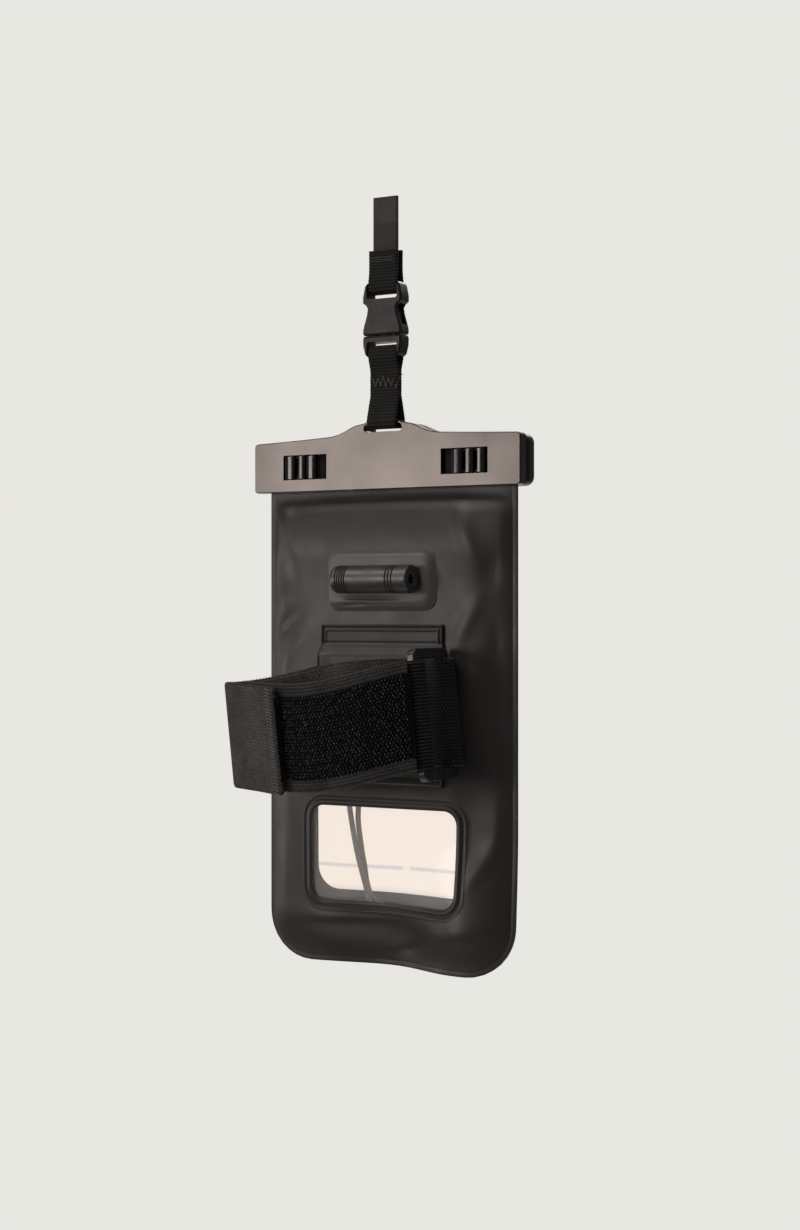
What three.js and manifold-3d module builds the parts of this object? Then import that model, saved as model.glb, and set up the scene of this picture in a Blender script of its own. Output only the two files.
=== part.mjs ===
// Waterproof phone pouch with a clamp, an armband and the end of a lanyard.
// Millimetres, +Z up. The back of the pouch faces -Y, and the origin is the centre of the lanyard slot.
import * as THREE from "three";
import * as BufferGeometryUtils from "three/addons/utils/BufferGeometryUtils.js";
import Module from "manifold-3d";

const wasm = await Module();
wasm.setup();

// Clearance between solids that touch on the real object
const gap = 0.3;
// Half the depth of the tools that cut right through the pouch
const cutReach = 20;

// Clamp
const clampWidth = 110;
const clampTopZ = -3.8;
const clampBottomZ = -22.0;
const rearJawDepth = 4.8;
const frontJawDepth = 5.0;
const rearJawCornerRadius = 1.4;
const frontJawCornerRadius = 3.2;
const shoulderRise = 1.4;
const tabFootHalf = 22;
const tabShoulderHalf = 8;
const tabShoulderZ = 1.8;
const tabPeakZ = 3.7;
const slotWidth = 15.8;
const slotHeight = 2.8;
const notchWidth = 19;
const notchBottomZ = -2.6;

// Sliding locks
const lockWindowWidth = 18.5;
const lockWindowHeight = 9.0;
const lockWindowCentreX = clampWidth * 0.3;
const lockCentreZ = -13.0;
const jawWall = 1.5;
const lockTravel = 4.0;
const gripWidth = 13.6;
const gripRibs = 3;
const gripRibDrop = 0.9;
const gripProud = 0.2;
const plateWidth = 19.5;
const plateHeight = 11.4;
const plateThickness = 1.2;
const lugNeckHeight = 3.4;
const lugHeadHeight = 6.2;
const lugLength = 3.0;
const lugHeadThickness = 0.6;

// Pouch
const sheetThickness = 0.5;
const pouchWidth = 102;
const pouchBottomZ = -193.7;
const pouchCornerRadius = 17.5;
const neckTopZ = -5.8;
const weldWidth = 3.0;
const puffDepth = 3.4;
const puffRampTop = 24;
const puffRampBottom = 20;
const hemWave = 5.0;
const hemWaveCentreX = 14;
const hemWaveHalf = 18;
const hemWaveHeight = 52;

// Clear panels
const windowCentreX = -1.0;
const windowWidth = 60.0;
const windowTopZ = -136.2;
const windowHeight = 34.5;
const windowCornerRadius = 5.0;
const windowFlange = 1.6;
const screenWidth = 66;
const screenTopZ = -30.2;
const screenBottomZ = -167.7;
const screenCornerRadius = 6;
const screenFlange = 1.8;
const panelThickness = 0.4;

// Earphone socket
const padCentreX = -1.4;
const padCentreZ = -54.3;
const padWidth = 45.4;
const padHeight = 22.6;
const padCornerRadius = 5.5;
const padThickness = 1.4;
const padDome = 1.7;
const barrelRadius = 5.05;
const barrelLength = 32.6;
const barrelStartX = -17.4;
const barrelEndRadius = 2.6;
const barrelRingDepth = 0.35;
const barrelRingWidth = 0.55;
const boreRadius = 2.5;
const boreDepth = 15;
const sleeveWall = 0.45;
const sleeveLength = 12;

// Inner lead
const leadDiameter = 2.0;
const plugBodyRadius = 2.6;
const plugBodyLength = 16;
const plugPinRadius = 1.75;
const plugPinLength = 12;

// Tunnel patch
const patchLeftX = -26.4;
const patchRightX = 24.1;
const patchTopZ = -70.4;
const patchBottomZ = -128.1;
const patchThickness = 0.6;
const patchTopWeld = 6.6;
const patchBottomWeld = 3.4;
const patchEdgeFlare = 1.6;

// Armband
const strapWidth = 37.4;
const strapThickness = 2.0;
const bandTilt = THREE.MathUtils.degToRad(6.5);
const bandSag = 3.2;
const bandSagLevelY = -22;
const bandReach = 78;
const ringX = 28;
const ringZ = -101.1;
const ringBar = 3.8;
const ringThickness = 3.2;
const ringFrontY = -31.0;
const ringInnerHeight = 38.0;
const ringCornerRadius = 2.6;
const elasticThickness = 1.8;
const hookTapeThickness = 1.1;
const hookTapeLength = 27;
const hookTapeInset = 0.7;

// Lanyard
const lanyardWidth = 11.9;
const lanyardThickness = 1.2;
const neckStrapWidth = 10.2;
const neckStrapThickness = 1.5;
const neckStrapTopZ = 82.8;
const neckStrapBottomZ = 56.8;
const upperWebbingTopZ = 63.5;

// Buckle
const buckleThickness = 6.4;
const buckleBaseZ = 25.5;
const buckleMouthZ = 33.2;
const buckleTopZ = 52.0;
const buckleHalfWidth = 8.05;
const buckleWaistHalf = 6.05;
const lowerBarHeight = 2.5;
const lowerSlotHeight = 2.7;
const upperBarHeight = 2.4;
const upperSlotHeight = 3.5;
const prongOuterHalf = 5.8;
const prongInnerHalf = 3.6;
const prongTopZ = buckleMouthZ + 10.6;
const prongThickness = 3.4;

const colours = {
  clamp: [0x16151a, 0.28],
  sheet: [0x1c1b1d, 0.6],
  clear: [0xf4ece4, 0.1],
  webbing: [0x0d0d0f, 0.9],
  pile: [0x0a0a0c, 1.0],
  buckle: [0x111113, 0.4],
  metal: [0xb8bcc0, 0.3],
  rubber: [0x18181a, 0.7],
};

// A material with a colour and a roughness from the list above.
function materialOf(name) {
  const [color, roughness] = colours[name];
  const clear = name === "clear";
  return new THREE.MeshStandardMaterial({
    color,
    roughness,
    metalness: name === "metal" ? 1 : 0,
    transparent: clear,
    opacity: clear ? 0.4 : 1,
  });
}

const part = new THREE.Group();

// Adds a named piece to a group.
function addPiece(name, geometry, finish, parent = part) {
  geometry.computeVertexNormals();
  const mesh = new THREE.Mesh(geometry, materialOf(finish));
  mesh.name = name;
  parent.add(mesh);
  return mesh;
}

// A closed geometry as a solid for booleans.
function solidOf(geometry) {
  const bare = new THREE.BufferGeometry();
  bare.setAttribute("position", geometry.getAttribute("position"));
  if (geometry.index) bare.setIndex(geometry.index);
  const merged = BufferGeometryUtils.mergeVertices(bare, 1e-4);
  return new wasm.Manifold(
    new wasm.Mesh({
      numProp: 3,
      vertProperties: merged.attributes.position.array,
      triVerts: new Uint32Array(merged.index.array),
    }),
  );
}

// A solid as a geometry.
function geometryOf(solid) {
  const mesh = solid.getMesh();
  const geometry = new THREE.BufferGeometry();
  geometry.setAttribute("position", new THREE.BufferAttribute(mesh.vertProperties, 3));
  geometry.setIndex(new THREE.BufferAttribute(mesh.triVerts, 1));
  return geometry;
}

function cutFrom(geometry, ...tools) {
  return geometryOf(tools.reduce((body, tool) => body.subtract(solidOf(tool)), solidOf(geometry)));
}

function joined(geometry, ...others) {
  return geometryOf(others.reduce((body, other) => body.add(solidOf(other)), solidOf(geometry)));
}

// A box from its lowest to its highest corner.
function boxBetween([x0, y0, z0], [x1, y1, z1]) {
  const box = new THREE.BoxGeometry(x1 - x0, y1 - y0, z1 - z0);
  return box.translate((x0 + x1) / 2, (y0 + y1) / 2, (z0 + z1) / 2);
}

// A rectangle with rounded corners in a shape's own plane.
function roundedRectangle(x0, z0, x1, z1, radius) {
  const shape = new THREE.Shape();
  shape.moveTo(x0 + radius, z0);
  shape.lineTo(x1 - radius, z0);
  shape.absarc(x1 - radius, z0 + radius, radius, -Math.PI / 2, 0);
  shape.lineTo(x1, z1 - radius);
  shape.absarc(x1 - radius, z1 - radius, radius, 0, Math.PI / 2);
  shape.lineTo(x0 + radius, z1);
  shape.absarc(x0 + radius, z1 - radius, radius, Math.PI / 2, Math.PI);
  shape.lineTo(x0, z0 + radius);
  shape.absarc(x0 + radius, z0 + radius, radius, Math.PI, Math.PI * 1.5);
  return shape;
}

// An outline drawn in X and Z, extruded from y0 back to y1.
function extrudeInY(shape, y0, y1, bevel = 0, curveSegments = 5) {
  const geometry = new THREE.ExtrudeGeometry(shape, {
    depth: y1 - y0 - 2 * bevel,
    bevelEnabled: bevel > 0,
    bevelThickness: bevel,
    bevelSize: bevel,
    bevelOffset: -bevel,
    bevelSegments: 1,
    curveSegments,
  });
  return geometry.rotateX(Math.PI / 2).translate(0, y1 - bevel, 0);
}

// A closed surface over a grid: four sides of a loop around each section, capped at both ends.
// rows[i] is a list of corner points that goes once round the section i.
function skinOf(rows) {
  const positions = rows.flat().flatMap((p) => [p.x, p.y, p.z]);
  const around = rows[0].length;
  const index = [];
  for (let i = 0; i + 1 < rows.length; i++) {
    for (let j = 0; j < around; j++) {
      const a = i * around + j;
      const b = i * around + ((j + 1) % around);
      const forward = j < around / 2;
      if (forward) index.push(a, b, b + around, a, b + around, a + around);
      else index.push(a, b, a + around, b, b + around, a + around);
    }
  }
  const last = (rows.length - 1) * around;
  const capFaces = (row, start, flip) => {
    const half = around / 2;
    for (let j = 0; j + 1 < half; j++) {
      const quad = [j, j + 1, around - 2 - j, around - 1 - j].map((k) => start + k);
      const order = flip ? [0, 2, 1, 0, 3, 2] : [0, 1, 2, 0, 2, 3];
      index.push(...order.map((k) => quad[k]));
    }
  };
  capFaces(rows[0], 0, true);
  capFaces(rows.at(-1), last, false);
  const geometry = new THREE.BufferGeometry();
  geometry.setAttribute("position", new THREE.Float32BufferAttribute(positions, 3));
  geometry.setIndex(index);
  if (solidVolume(geometry) < 0) {
    for (let i = 0; i < index.length; i += 3) {
      [index[i + 1], index[i + 2]] = [index[i + 2], index[i + 1]];
    }
    geometry.setIndex(index);
  }
  return geometry;
}

// Signed volume of a closed indexed geometry.
function solidVolume(geometry) {
  const p = geometry.getAttribute("position");
  const corner = (k) => new THREE.Vector3().fromBufferAttribute(p, geometry.index.getX(k));
  let volume = 0;
  for (let k = 0; k < geometry.index.count; k += 3) {
    volume += corner(k).dot(corner(k + 1).cross(corner(k + 2))) / 6;
  }
  return volume;
}

const smooth = (t) => {
  const s = Math.min(1, Math.max(0, t));
  return s * s * (3 - 2 * s);
};

// Depths of the layers inside the clamp, from the back to the front
const rearSheetFlatY = -(gap / 2 + sheetThickness);
const frontSheetFlatY = gap / 2 + sheetThickness;
const rearJawFrontY = rearSheetFlatY - gap;
const rearJawBackY = rearJawFrontY - rearJawDepth;
const frontJawBackY = frontSheetFlatY + gap;
const frontJawFrontY = frontJawBackY + frontJawDepth;
const slotTopZ = slotHeight / 2;
const slotBottomZ = -slotHeight / 2;

// The clamp's outline: straight bottom, gently rising shoulders and a bell-shaped tab.
function jawOutline(cornerRadius) {
  const half = clampWidth / 2;
  const shape = new THREE.Shape();
  shape.moveTo(-half + cornerRadius, clampBottomZ);
  shape.lineTo(half - cornerRadius, clampBottomZ);
  shape.absarc(half - cornerRadius, clampBottomZ + cornerRadius, cornerRadius, -Math.PI / 2, 0);
  shape.lineTo(half, clampTopZ - cornerRadius);
  shape.absarc(half - cornerRadius, clampTopZ - cornerRadius, cornerRadius, 0, Math.PI / 2);
  const footZ = clampTopZ + shoulderRise;
  const middle = (tabFootHalf + tabShoulderHalf) / 2;
  const bulgeX = (half + tabFootHalf) / 2;
  const bulgeZ = clampTopZ + shoulderRise * 0.35;
  shape.quadraticCurveTo(bulgeX, bulgeZ, tabFootHalf, footZ);
  shape.bezierCurveTo(middle, footZ + 0.8, middle, tabShoulderZ - 0.6, tabShoulderHalf, tabShoulderZ);
  shape.quadraticCurveTo(tabShoulderHalf / 2, tabPeakZ, 0, tabPeakZ);
  shape.quadraticCurveTo(-tabShoulderHalf / 2, tabPeakZ, -tabShoulderHalf, tabShoulderZ);
  shape.bezierCurveTo(-middle, tabShoulderZ - 0.6, -middle, footZ + 0.8, -tabFootHalf, footZ);
  shape.quadraticCurveTo(-bulgeX, bulgeZ, -half + cornerRadius, clampTopZ);
  shape.absarc(-half + cornerRadius, clampTopZ - cornerRadius, cornerRadius, Math.PI / 2, Math.PI);
  shape.lineTo(-half, clampBottomZ + cornerRadius);
  shape.absarc(-half + cornerRadius, clampBottomZ + cornerRadius, cornerRadius, Math.PI, Math.PI * 1.5);
  return shape;
}

// Depths of the lock's parts
const plateBackY = rearJawBackY + jawWall + gap;
const plateFrontY = plateBackY + plateThickness;
const gripBackY = rearJawBackY - gripProud;
const gripFloorY = plateBackY - lugHeadThickness - 0.5;
const headBackY = gripFloorY + 0.25;
const headFrontY = headBackY + lugHeadThickness;
const gripHeight = lockWindowHeight - 2 * gap;
const gripStartX = lockWindowWidth / 2 - gap - gripWidth / 2;
// The right lock rests a little inward of its outer stop, as the photograph shows it.
const locks = [
  { name: "lock_slider_left", side: -1, restInward: 0 },
  { name: "lock_slider_right", side: 1, restInward: 0.8 },
];
const keyholeSlack = 0.4;

function rearJaw() {
  const body = extrudeInY(jawOutline(rearJawCornerRadius), rearJawBackY, rearJawFrontY, 0.3);
  const slotShape = roundedRectangle(-slotWidth / 2, slotBottomZ, slotWidth / 2, slotTopZ, slotHeight * 0.45);
  const tools = [extrudeInY(slotShape, rearJawBackY - 1, rearJawFrontY + 1)];
  const pocketHalfHeight = plateHeight / 2 + gap;
  for (const { side } of locks) {
    const centre = side * lockWindowCentreX;
    tools.push(
      boxBetween(
        [centre - lockWindowWidth / 2, rearJawBackY - 1, lockCentreZ - lockWindowHeight / 2],
        [centre + lockWindowWidth / 2, rearJawBackY + jawWall + 1, lockCentreZ + lockWindowHeight / 2],
      ),
    );
    const outward = gripStartX + plateWidth / 2 + gap;
    const inward = gripStartX - plateWidth / 2 - lockTravel - 1 - gap;
    const edges = [centre + side * outward, centre + side * inward].sort((a, b) => a - b);
    tools.push(
      boxBetween(
        [edges[0], rearJawBackY + jawWall, lockCentreZ - pocketHalfHeight],
        [edges[1], rearJawFrontY + 1, lockCentreZ + pocketHalfHeight],
      ),
    );
  }
  return cutFrom(body, ...tools);
}

const sealTopZ = -6.8;
const sealHeight = 1.6;
const sealDepth = 1.4;

function frontJaw() {
  const body = extrudeInY(jawOutline(frontJawCornerRadius), frontJawBackY, frontJawFrontY, 0.8);
  const notch = boxBetween(
    [-notchWidth / 2, frontJawBackY - 1, notchBottomZ],
    [notchWidth / 2, frontJawFrontY + 1, tabPeakZ + 5],
  );
  const groove = boxBetween(
    [-pouchWidth / 2 - gap, frontJawBackY - 1, sealTopZ - sealHeight - gap],
    [pouchWidth / 2 + gap, frontJawBackY + sealDepth, sealTopZ + gap],
  );
  const lugs = locks.map(({ side, restInward }) => {
    const x = side * (lockWindowCentreX + gripStartX - restInward);
    const neck = boxBetween(
      [x - lugLength / 2, headFrontY - 0.1, lockCentreZ - lugNeckHeight / 2],
      [x + lugLength / 2, frontJawBackY + 0.5, lockCentreZ + lugNeckHeight / 2],
    );
    const head = boxBetween(
      [x - lugLength / 2, headBackY, lockCentreZ - lugHeadHeight / 2],
      [x + lugLength / 2, headFrontY, lockCentreZ + lugHeadHeight / 2],
    );
    return joined(neck, head);
  });
  return joined(cutFrom(body, notch, groove), ...lugs);
}

function jawSeal() {
  return boxBetween(
    [-pouchWidth / 2, frontSheetFlatY + gap, sealTopZ - sealHeight],
    [pouchWidth / 2, frontJawBackY + sealDepth - gap, sealTopZ],
  );
}

// A ribbed grip on a plate, with a keyhole for the front jaw's lug.
function lockSlider({ side, restInward }) {
  const x = side * (lockWindowCentreX + gripStartX - restInward);
  const rib = gripWidth / gripRibs;
  const valleyY = gripBackY + gripRibDrop;
  const profile = new THREE.Shape();
  profile.moveTo(x - gripWidth / 2, plateBackY + 0.2);
  profile.lineTo(x + gripWidth / 2, plateBackY + 0.2);
  for (let k = gripRibs; k > 0; k--) {
    const right = x - gripWidth / 2 + k * rib;
    profile.lineTo(right, gripBackY);
    profile.lineTo(right - rib * 0.35, gripBackY);
    profile.lineTo(right - rib * 0.75, valleyY);
    profile.lineTo(right - rib, valleyY);
  }
  const grip = new THREE.ExtrudeGeometry(profile, { depth: gripHeight, bevelEnabled: false });
  grip.translate(0, 0, lockCentreZ - gripHeight / 2);
  const plate = boxBetween(
    [x - plateWidth / 2, plateBackY, lockCentreZ - plateHeight / 2],
    [x + plateWidth / 2, plateFrontY, lockCentreZ + plateHeight / 2],
  );
  const release = lockTravel - restInward;
  const lugHalf = lugLength / 2 + keyholeSlack;
  const slotNear = x - side * (lugHalf + restInward);
  const slotFar = x + side * (release + lugHalf);
  const wideNear = x + side * (release - lugHalf);
  const cavityEdges = [slotNear, slotFar].sort((a, b) => a - b);
  const wideEdges = [wideNear, slotFar].sort((a, b) => a - b);
  const narrowHalf = lugNeckHeight / 2 + gap;
  const wideHalf = lugHeadHeight / 2 + gap;
  const cavity = boxBetween(
    [cavityEdges[0], gripFloorY, lockCentreZ - wideHalf],
    [cavityEdges[1], plateBackY, lockCentreZ + wideHalf],
  );
  const narrow = boxBetween(
    [cavityEdges[0], gripFloorY, lockCentreZ - narrowHalf],
    [cavityEdges[1], plateFrontY + 1, lockCentreZ + narrowHalf],
  );
  const wide = boxBetween(
    [wideEdges[0], gripFloorY, lockCentreZ - wideHalf],
    [wideEdges[1], plateFrontY + 1, lockCentreZ + wideHalf],
  );
  return cutFrom(joined(plate, grip), cavity, narrow, wide);
}

addPiece("rear_jaw", rearJaw(), "clamp");
addPiece("front_jaw", frontJaw(), "clamp");
addPiece("jaw_seal", jawSeal(), "rubber");
for (const lock of locks) addPiece(lock.name, lockSlider(lock), "clamp");

// Half the pouch's width at a height: straight sides and round bottom corners.
function pouchHalfWidth(z) {
  const above = z - pouchBottomZ;
  const half = pouchWidth / 2;
  if (above >= pouchCornerRadius) return half;
  const drop = pouchCornerRadius - above;
  return half - pouchCornerRadius + Math.sqrt(Math.max(0, pouchCornerRadius ** 2 - drop ** 2));
}

// How far a sheet stands off the middle plane: none at the clamp and at the welded edge.
function puff(x, z) {
  const top = smooth((clampBottomZ - z) / puffRampTop);
  const bottom = smooth((z - pouchBottomZ - weldWidth) / puffRampBottom);
  const across = Math.min(1, Math.abs(x) / Math.max(1, pouchHalfWidth(z) - weldWidth));
  return puffDepth * top * bottom * (1 - across ** 6);
}

// The hem waves in depth, more towards the bottom.
function hemY(x, z) {
  const t = (x - hemWaveCentreX) / hemWaveHalf;
  const grow = smooth((pouchBottomZ + hemWaveHeight - z) / hemWaveHeight);
  return -hemWave * t * Math.exp((1 - t * t) / 2) * grow;
}

const rearSkinY = (x, z) => rearSheetFlatY - puff(x, z) + hemY(x, z);
const frontSkinY = (x, z) => frontSheetFlatY + puff(x, z) + hemY(x, z);

// A sheet between two surfaces over an outline given by its half width at each height.
function sheetBetween({ zs, halfAt, centreX = 0, columns, lowY, highY }) {
  const rows = zs.map((z) => {
    const half = halfAt(z);
    const xs = [];
    for (let k = 0; k <= columns; k++) {
      const angle = (Math.PI / 2) * (-1 + (2 * k) / columns);
      xs.push(centreX + half * Math.sin(angle));
    }
    const low = xs.map((x) => new THREE.Vector3(x, lowY(x, z), z));
    const high = xs.map((x) => new THREE.Vector3(x, highY(x, z), z)).reverse();
    return [...low, ...high];
  });
  return skinOf(rows);
}

// Heights from a top to a bottom, with round corners stepped finely.
function heights(top, bottom, count, cornerRadius, cornerSteps) {
  const zs = [];
  for (let k = 0; k < count; k++) zs.push(top + ((bottom + cornerRadius - top) * k) / count);
  for (let k = 0; k <= cornerSteps; k++) {
    const angle = (Math.PI / 2) * (k / cornerSteps);
    zs.push(bottom + cornerRadius - cornerRadius * Math.sin(angle));
  }
  return zs;
}

const pouchHeights = heights(neckTopZ, pouchBottomZ, 23, pouchCornerRadius, 6);
const pouchColumns = 18;

// Holes in the mouth for the front jaw's lugs
function lugHoles() {
  return locks.map(({ side, restInward }) => {
    const x = side * (lockWindowCentreX + gripStartX - restInward);
    const halfX = lugLength / 2 + 1;
    const halfZ = lugHeadHeight / 2 + 1;
    return boxBetween([x - halfX, -3, lockCentreZ - halfZ], [x + halfX, 3, lockCentreZ + halfZ]);
  });
}

function openingThrough(x0, z0, x1, z1, radius, y0 = -cutReach, y1 = cutReach) {
  return extrudeInY(roundedRectangle(x0, z0, x1, z1, radius), y0, y1, 0, 4);
}

const windowLeftX = windowCentreX - windowWidth / 2;
const windowRightX = windowCentreX + windowWidth / 2;
const windowBottomZ = windowTopZ - windowHeight;

// A layer with the pouch's own outline and facets, between two surfaces.
function pouchLayer(lowY, highY) {
  return sheetBetween({ zs: pouchHeights, halfAt: pouchHalfWidth, columns: pouchColumns, lowY, highY });
}

function pouchSheet(lowY, highY, opening) {
  return cutFrom(pouchLayer(lowY, highY), opening, ...lugHoles());
}

// All the space in front of the back sheet's outer side, less the clearance: what is welded on is cut to it.
const insideBackSheet = pouchLayer(
  (x, z) => rearSkinY(x, z) - gap,
  () => cutReach,
);

addPiece(
  "pouch_rear_sheet",
  pouchSheet(
    rearSkinY,
    (x, z) => rearSkinY(x, z) + sheetThickness,
    openingThrough(windowLeftX, windowBottomZ, windowRightX, windowTopZ, windowCornerRadius),
  ),
  "sheet",
);
addPiece(
  "pouch_front_sheet",
  pouchSheet(
    (x, z) => frontSkinY(x, z) - sheetThickness,
    frontSkinY,
    openingThrough(-screenWidth / 2, screenBottomZ, screenWidth / 2, screenTopZ, screenCornerRadius),
  ),
  "sheet",
);

// A clear panel behind an opening, welded to the inner side of its sheet.
function clearPanel(left, right, top, bottom, radius, nearY, farY) {
  const outline = openingThrough(left, bottom, right, top, radius);
  return geometryOf(solidOf(pouchLayer(nearY, farY)).intersect(solidOf(outline)));
}

const windowInnerY = (x, z) => rearSkinY(x, z) + sheetThickness + gap;
addPiece(
  "rear_window_panel",
  clearPanel(
    windowLeftX - windowFlange,
    windowRightX + windowFlange,
    windowTopZ + windowFlange,
    windowBottomZ - windowFlange,
    windowCornerRadius + windowFlange,
    windowInnerY,
    (x, z) => windowInnerY(x, z) + panelThickness,
  ),
  "clear",
);
const screenInnerY = (x, z) => frontSkinY(x, z) - sheetThickness - gap;
addPiece(
  "front_screen_panel",
  clearPanel(
    -screenWidth / 2 - screenFlange,
    screenWidth / 2 + screenFlange,
    screenTopZ + screenFlange,
    screenBottomZ - screenFlange,
    screenCornerRadius + screenFlange,
    (x, z) => screenInnerY(x, z) - panelThickness,
    screenInnerY,
  ),
  "clear",
);

// Earphone socket: a domed pad and a barrel along X that rests on it
const padSeatY = (x, z) => rearSkinY(x, z) - gap;
function padCrownY(x, z) {
  const u = (2 * (x - padCentreX)) / padWidth;
  const w = (2 * (z - padCentreZ)) / padHeight;
  const rise = Math.max(0, 1 - Math.abs(u) ** 4) * Math.max(0, 1 - w * w);
  return padSeatY(x, z) - padThickness - padDome * rise;
}
const barrelEndX = barrelStartX + barrelLength;
const barrelAxisY = padCrownY(padCentreX, padCentreZ) - barrelRadius + 1.6;

// The barrel's profile: round closed end, fine rings near both ends and an open bore.
function barrelProfile() {
  const points = [new THREE.Vector2(0, 0)];
  for (let k = 0; k <= 4; k++) {
    const angle = (Math.PI / 2) * (k / 4);
    const along = barrelEndRadius * (1 - Math.cos(angle));
    const out = barrelRadius - barrelEndRadius + barrelEndRadius * Math.sin(angle);
    points.push(new THREE.Vector2(out, along));
  }
  const ringStarts = [3.1, 4.05, 5.0, 5.95, 6.9];
  for (const fromEnd of [8.8, 7.55, 6.3]) ringStarts.push(barrelLength - fromEnd);
  for (const start of ringStarts) {
    points.push(new THREE.Vector2(barrelRadius, start));
    points.push(new THREE.Vector2(barrelRadius - barrelRingDepth, start + barrelRingWidth / 2));
    points.push(new THREE.Vector2(barrelRadius, start + barrelRingWidth));
  }
  points.push(new THREE.Vector2(barrelRadius, barrelLength - 0.5));
  points.push(new THREE.Vector2(barrelRadius - 0.5, barrelLength));
  points.push(new THREE.Vector2(boreRadius, barrelLength));
  points.push(new THREE.Vector2(boreRadius, barrelLength - boreDepth));
  points.push(new THREE.Vector2(0, barrelLength - boreDepth));
  return points;
}

// A turned shape laid along +X from a start point.
function turnedAlongX(profile, segments, startX, y, z) {
  const lathe = new THREE.LatheGeometry(profile, segments);
  return lathe.rotateZ(-Math.PI / 2).translate(startX, y, z);
}

function jackPad() {
  const zs = [];
  const rows = 12;
  for (let k = 0; k <= rows; k++) zs.push(padCentreZ + padHeight * (0.5 - k / rows));
  const slab = sheetBetween({
    zs,
    halfAt: () => padWidth / 2,
    centreX: padCentreX,
    columns: 14,
    lowY: padCrownY,
    highY: (x, z) => padSeatY(x, z) + 1,
  });
  const outline = openingThrough(
    padCentreX - padWidth / 2,
    padCentreZ - padHeight / 2,
    padCentreX + padWidth / 2,
    padCentreZ + padHeight / 2,
    padCornerRadius,
  );
  const trimmed = geometryOf(solidOf(slab).intersect(solidOf(outline)));
  const saddleProfile = [
    new THREE.Vector2(0, -gap),
    new THREE.Vector2(barrelRadius + gap, -gap),
    new THREE.Vector2(barrelRadius + gap, barrelLength + gap),
    new THREE.Vector2(0, barrelLength + gap),
  ];
  return cutFrom(trimmed, turnedAlongX(saddleProfile, 24, barrelStartX, barrelAxisY, padCentreZ), insideBackSheet);
}

addPiece("jack_pad", jackPad(), "rubber");
addPiece(
  "jack_barrel",
  turnedAlongX(barrelProfile(), 20, barrelStartX, barrelAxisY, padCentreZ),
  "buckle",
);
const sleeveOuter = boreRadius - 0.05 - gap / 2;
addPiece(
  "jack_sleeve",
  turnedAlongX(
    [
      new THREE.Vector2(sleeveOuter - sleeveWall, 0),
      new THREE.Vector2(sleeveOuter, 0),
      new THREE.Vector2(sleeveOuter, sleeveLength),
      new THREE.Vector2(sleeveOuter - sleeveWall, sleeveLength),
      new THREE.Vector2(sleeveOuter - sleeveWall, 0),
    ],
    20,
    barrelEndX - sleeveLength - 0.6,
    barrelAxisY,
    padCentreZ,
  ),
  "metal",
);

// The lead leaves the back sheet inside the pouch, hangs past the window and comes back up to its plug.
const plugX = 2.5;
const plugY = 0;
const leadEndZ = -108;
const leadRoute = [
  [-12.0, -0.9, -55.2],
  [-16.5, -0.5, -61.2],
  [-19.0, -0.6, -77.2],
  [-19.6, -0.9, -99.2],
  [-18.5, -1.2, -119.2],
  [-16.6, -1.2, -136.2],
  [-13.5, -1.2, -153.2],
  [-10.6, -1.2, -166.2],
  [-9.6, -1.1, -171.2],
  [-7.6, -0.8, -175.6],
  [-4.2, -0.3, -178.2],
  [-0.8, 0.3, -176.6],
  [-1.4, 0.8, -173.4],
  [-5.6, 1.1, -172.2],
  [-9.8, 1.25, -169.6],
  [-11.6, 1.25, -164.6],
  [-12.1, 1.2, -159.2],
  [-13.2, 1.2, -151.2],
  [-14.3, 1.1, -139.2],
  [-12.4, 0.8, -130.2],
  [-6.5, 0.4, -123.6],
  [0.4, 0.1, -120.2],
  [plugX, plugY, -115.2],
  [plugX, plugY, leadEndZ],
].map(([x, y, z]) => new THREE.Vector3(x, y + hemY(x, z), z));

function audioLead() {
  const path = new THREE.CatmullRomCurve3(leadRoute, false, "centripetal");
  const section = new THREE.Shape();
  section.absarc(0, 0, leadDiameter / 2, 0, Math.PI * 2);
  return new THREE.ExtrudeGeometry(section, { steps: 60, extrudePath: path, curveSegments: 4, bevelEnabled: false });
}

function audioPlug() {
  const bodyStart = gap;
  const bodyEnd = bodyStart + plugBodyLength;
  const profile = [
    new THREE.Vector2(0, bodyStart),
    new THREE.Vector2(leadDiameter * 0.7, bodyStart),
    new THREE.Vector2(leadDiameter * 0.8, bodyStart + 4),
    new THREE.Vector2(plugBodyRadius, bodyStart + 4.6),
    new THREE.Vector2(plugBodyRadius, bodyEnd),
    new THREE.Vector2(plugPinRadius, bodyEnd),
    new THREE.Vector2(plugPinRadius, bodyEnd + plugPinLength - 2),
    new THREE.Vector2(plugPinRadius * 0.6, bodyEnd + plugPinLength - 1.4),
    new THREE.Vector2(0, bodyEnd + plugPinLength),
  ];
  const lathe = new THREE.LatheGeometry(profile, 16);
  const end = leadRoute.at(-1);
  return lathe.rotateX(Math.PI / 2).translate(end.x, end.y, end.z);
}

addPiece("audio_lead", audioLead(), "rubber");
addPiece("audio_plug", audioPlug(), "rubber");

// Armband: everything is laid out flat, then sags a little and turns about the ring.
function armbandPoint({ x, y, z }) {
  const along = Math.min(1, Math.max(0, (ringX - x) / bandReach));
  const sag = (bandSag * Math.sin(Math.PI * along) * (y - bandSagLevelY)) / 15;
  const dx = x - ringX;
  const dz = z + sag;
  return new THREE.Vector3(
    ringX + dx * Math.cos(bandTilt) - dz * Math.sin(bandTilt),
    y,
    ringZ + dx * Math.sin(bandTilt) + dz * Math.cos(bandTilt),
  );
}

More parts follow.
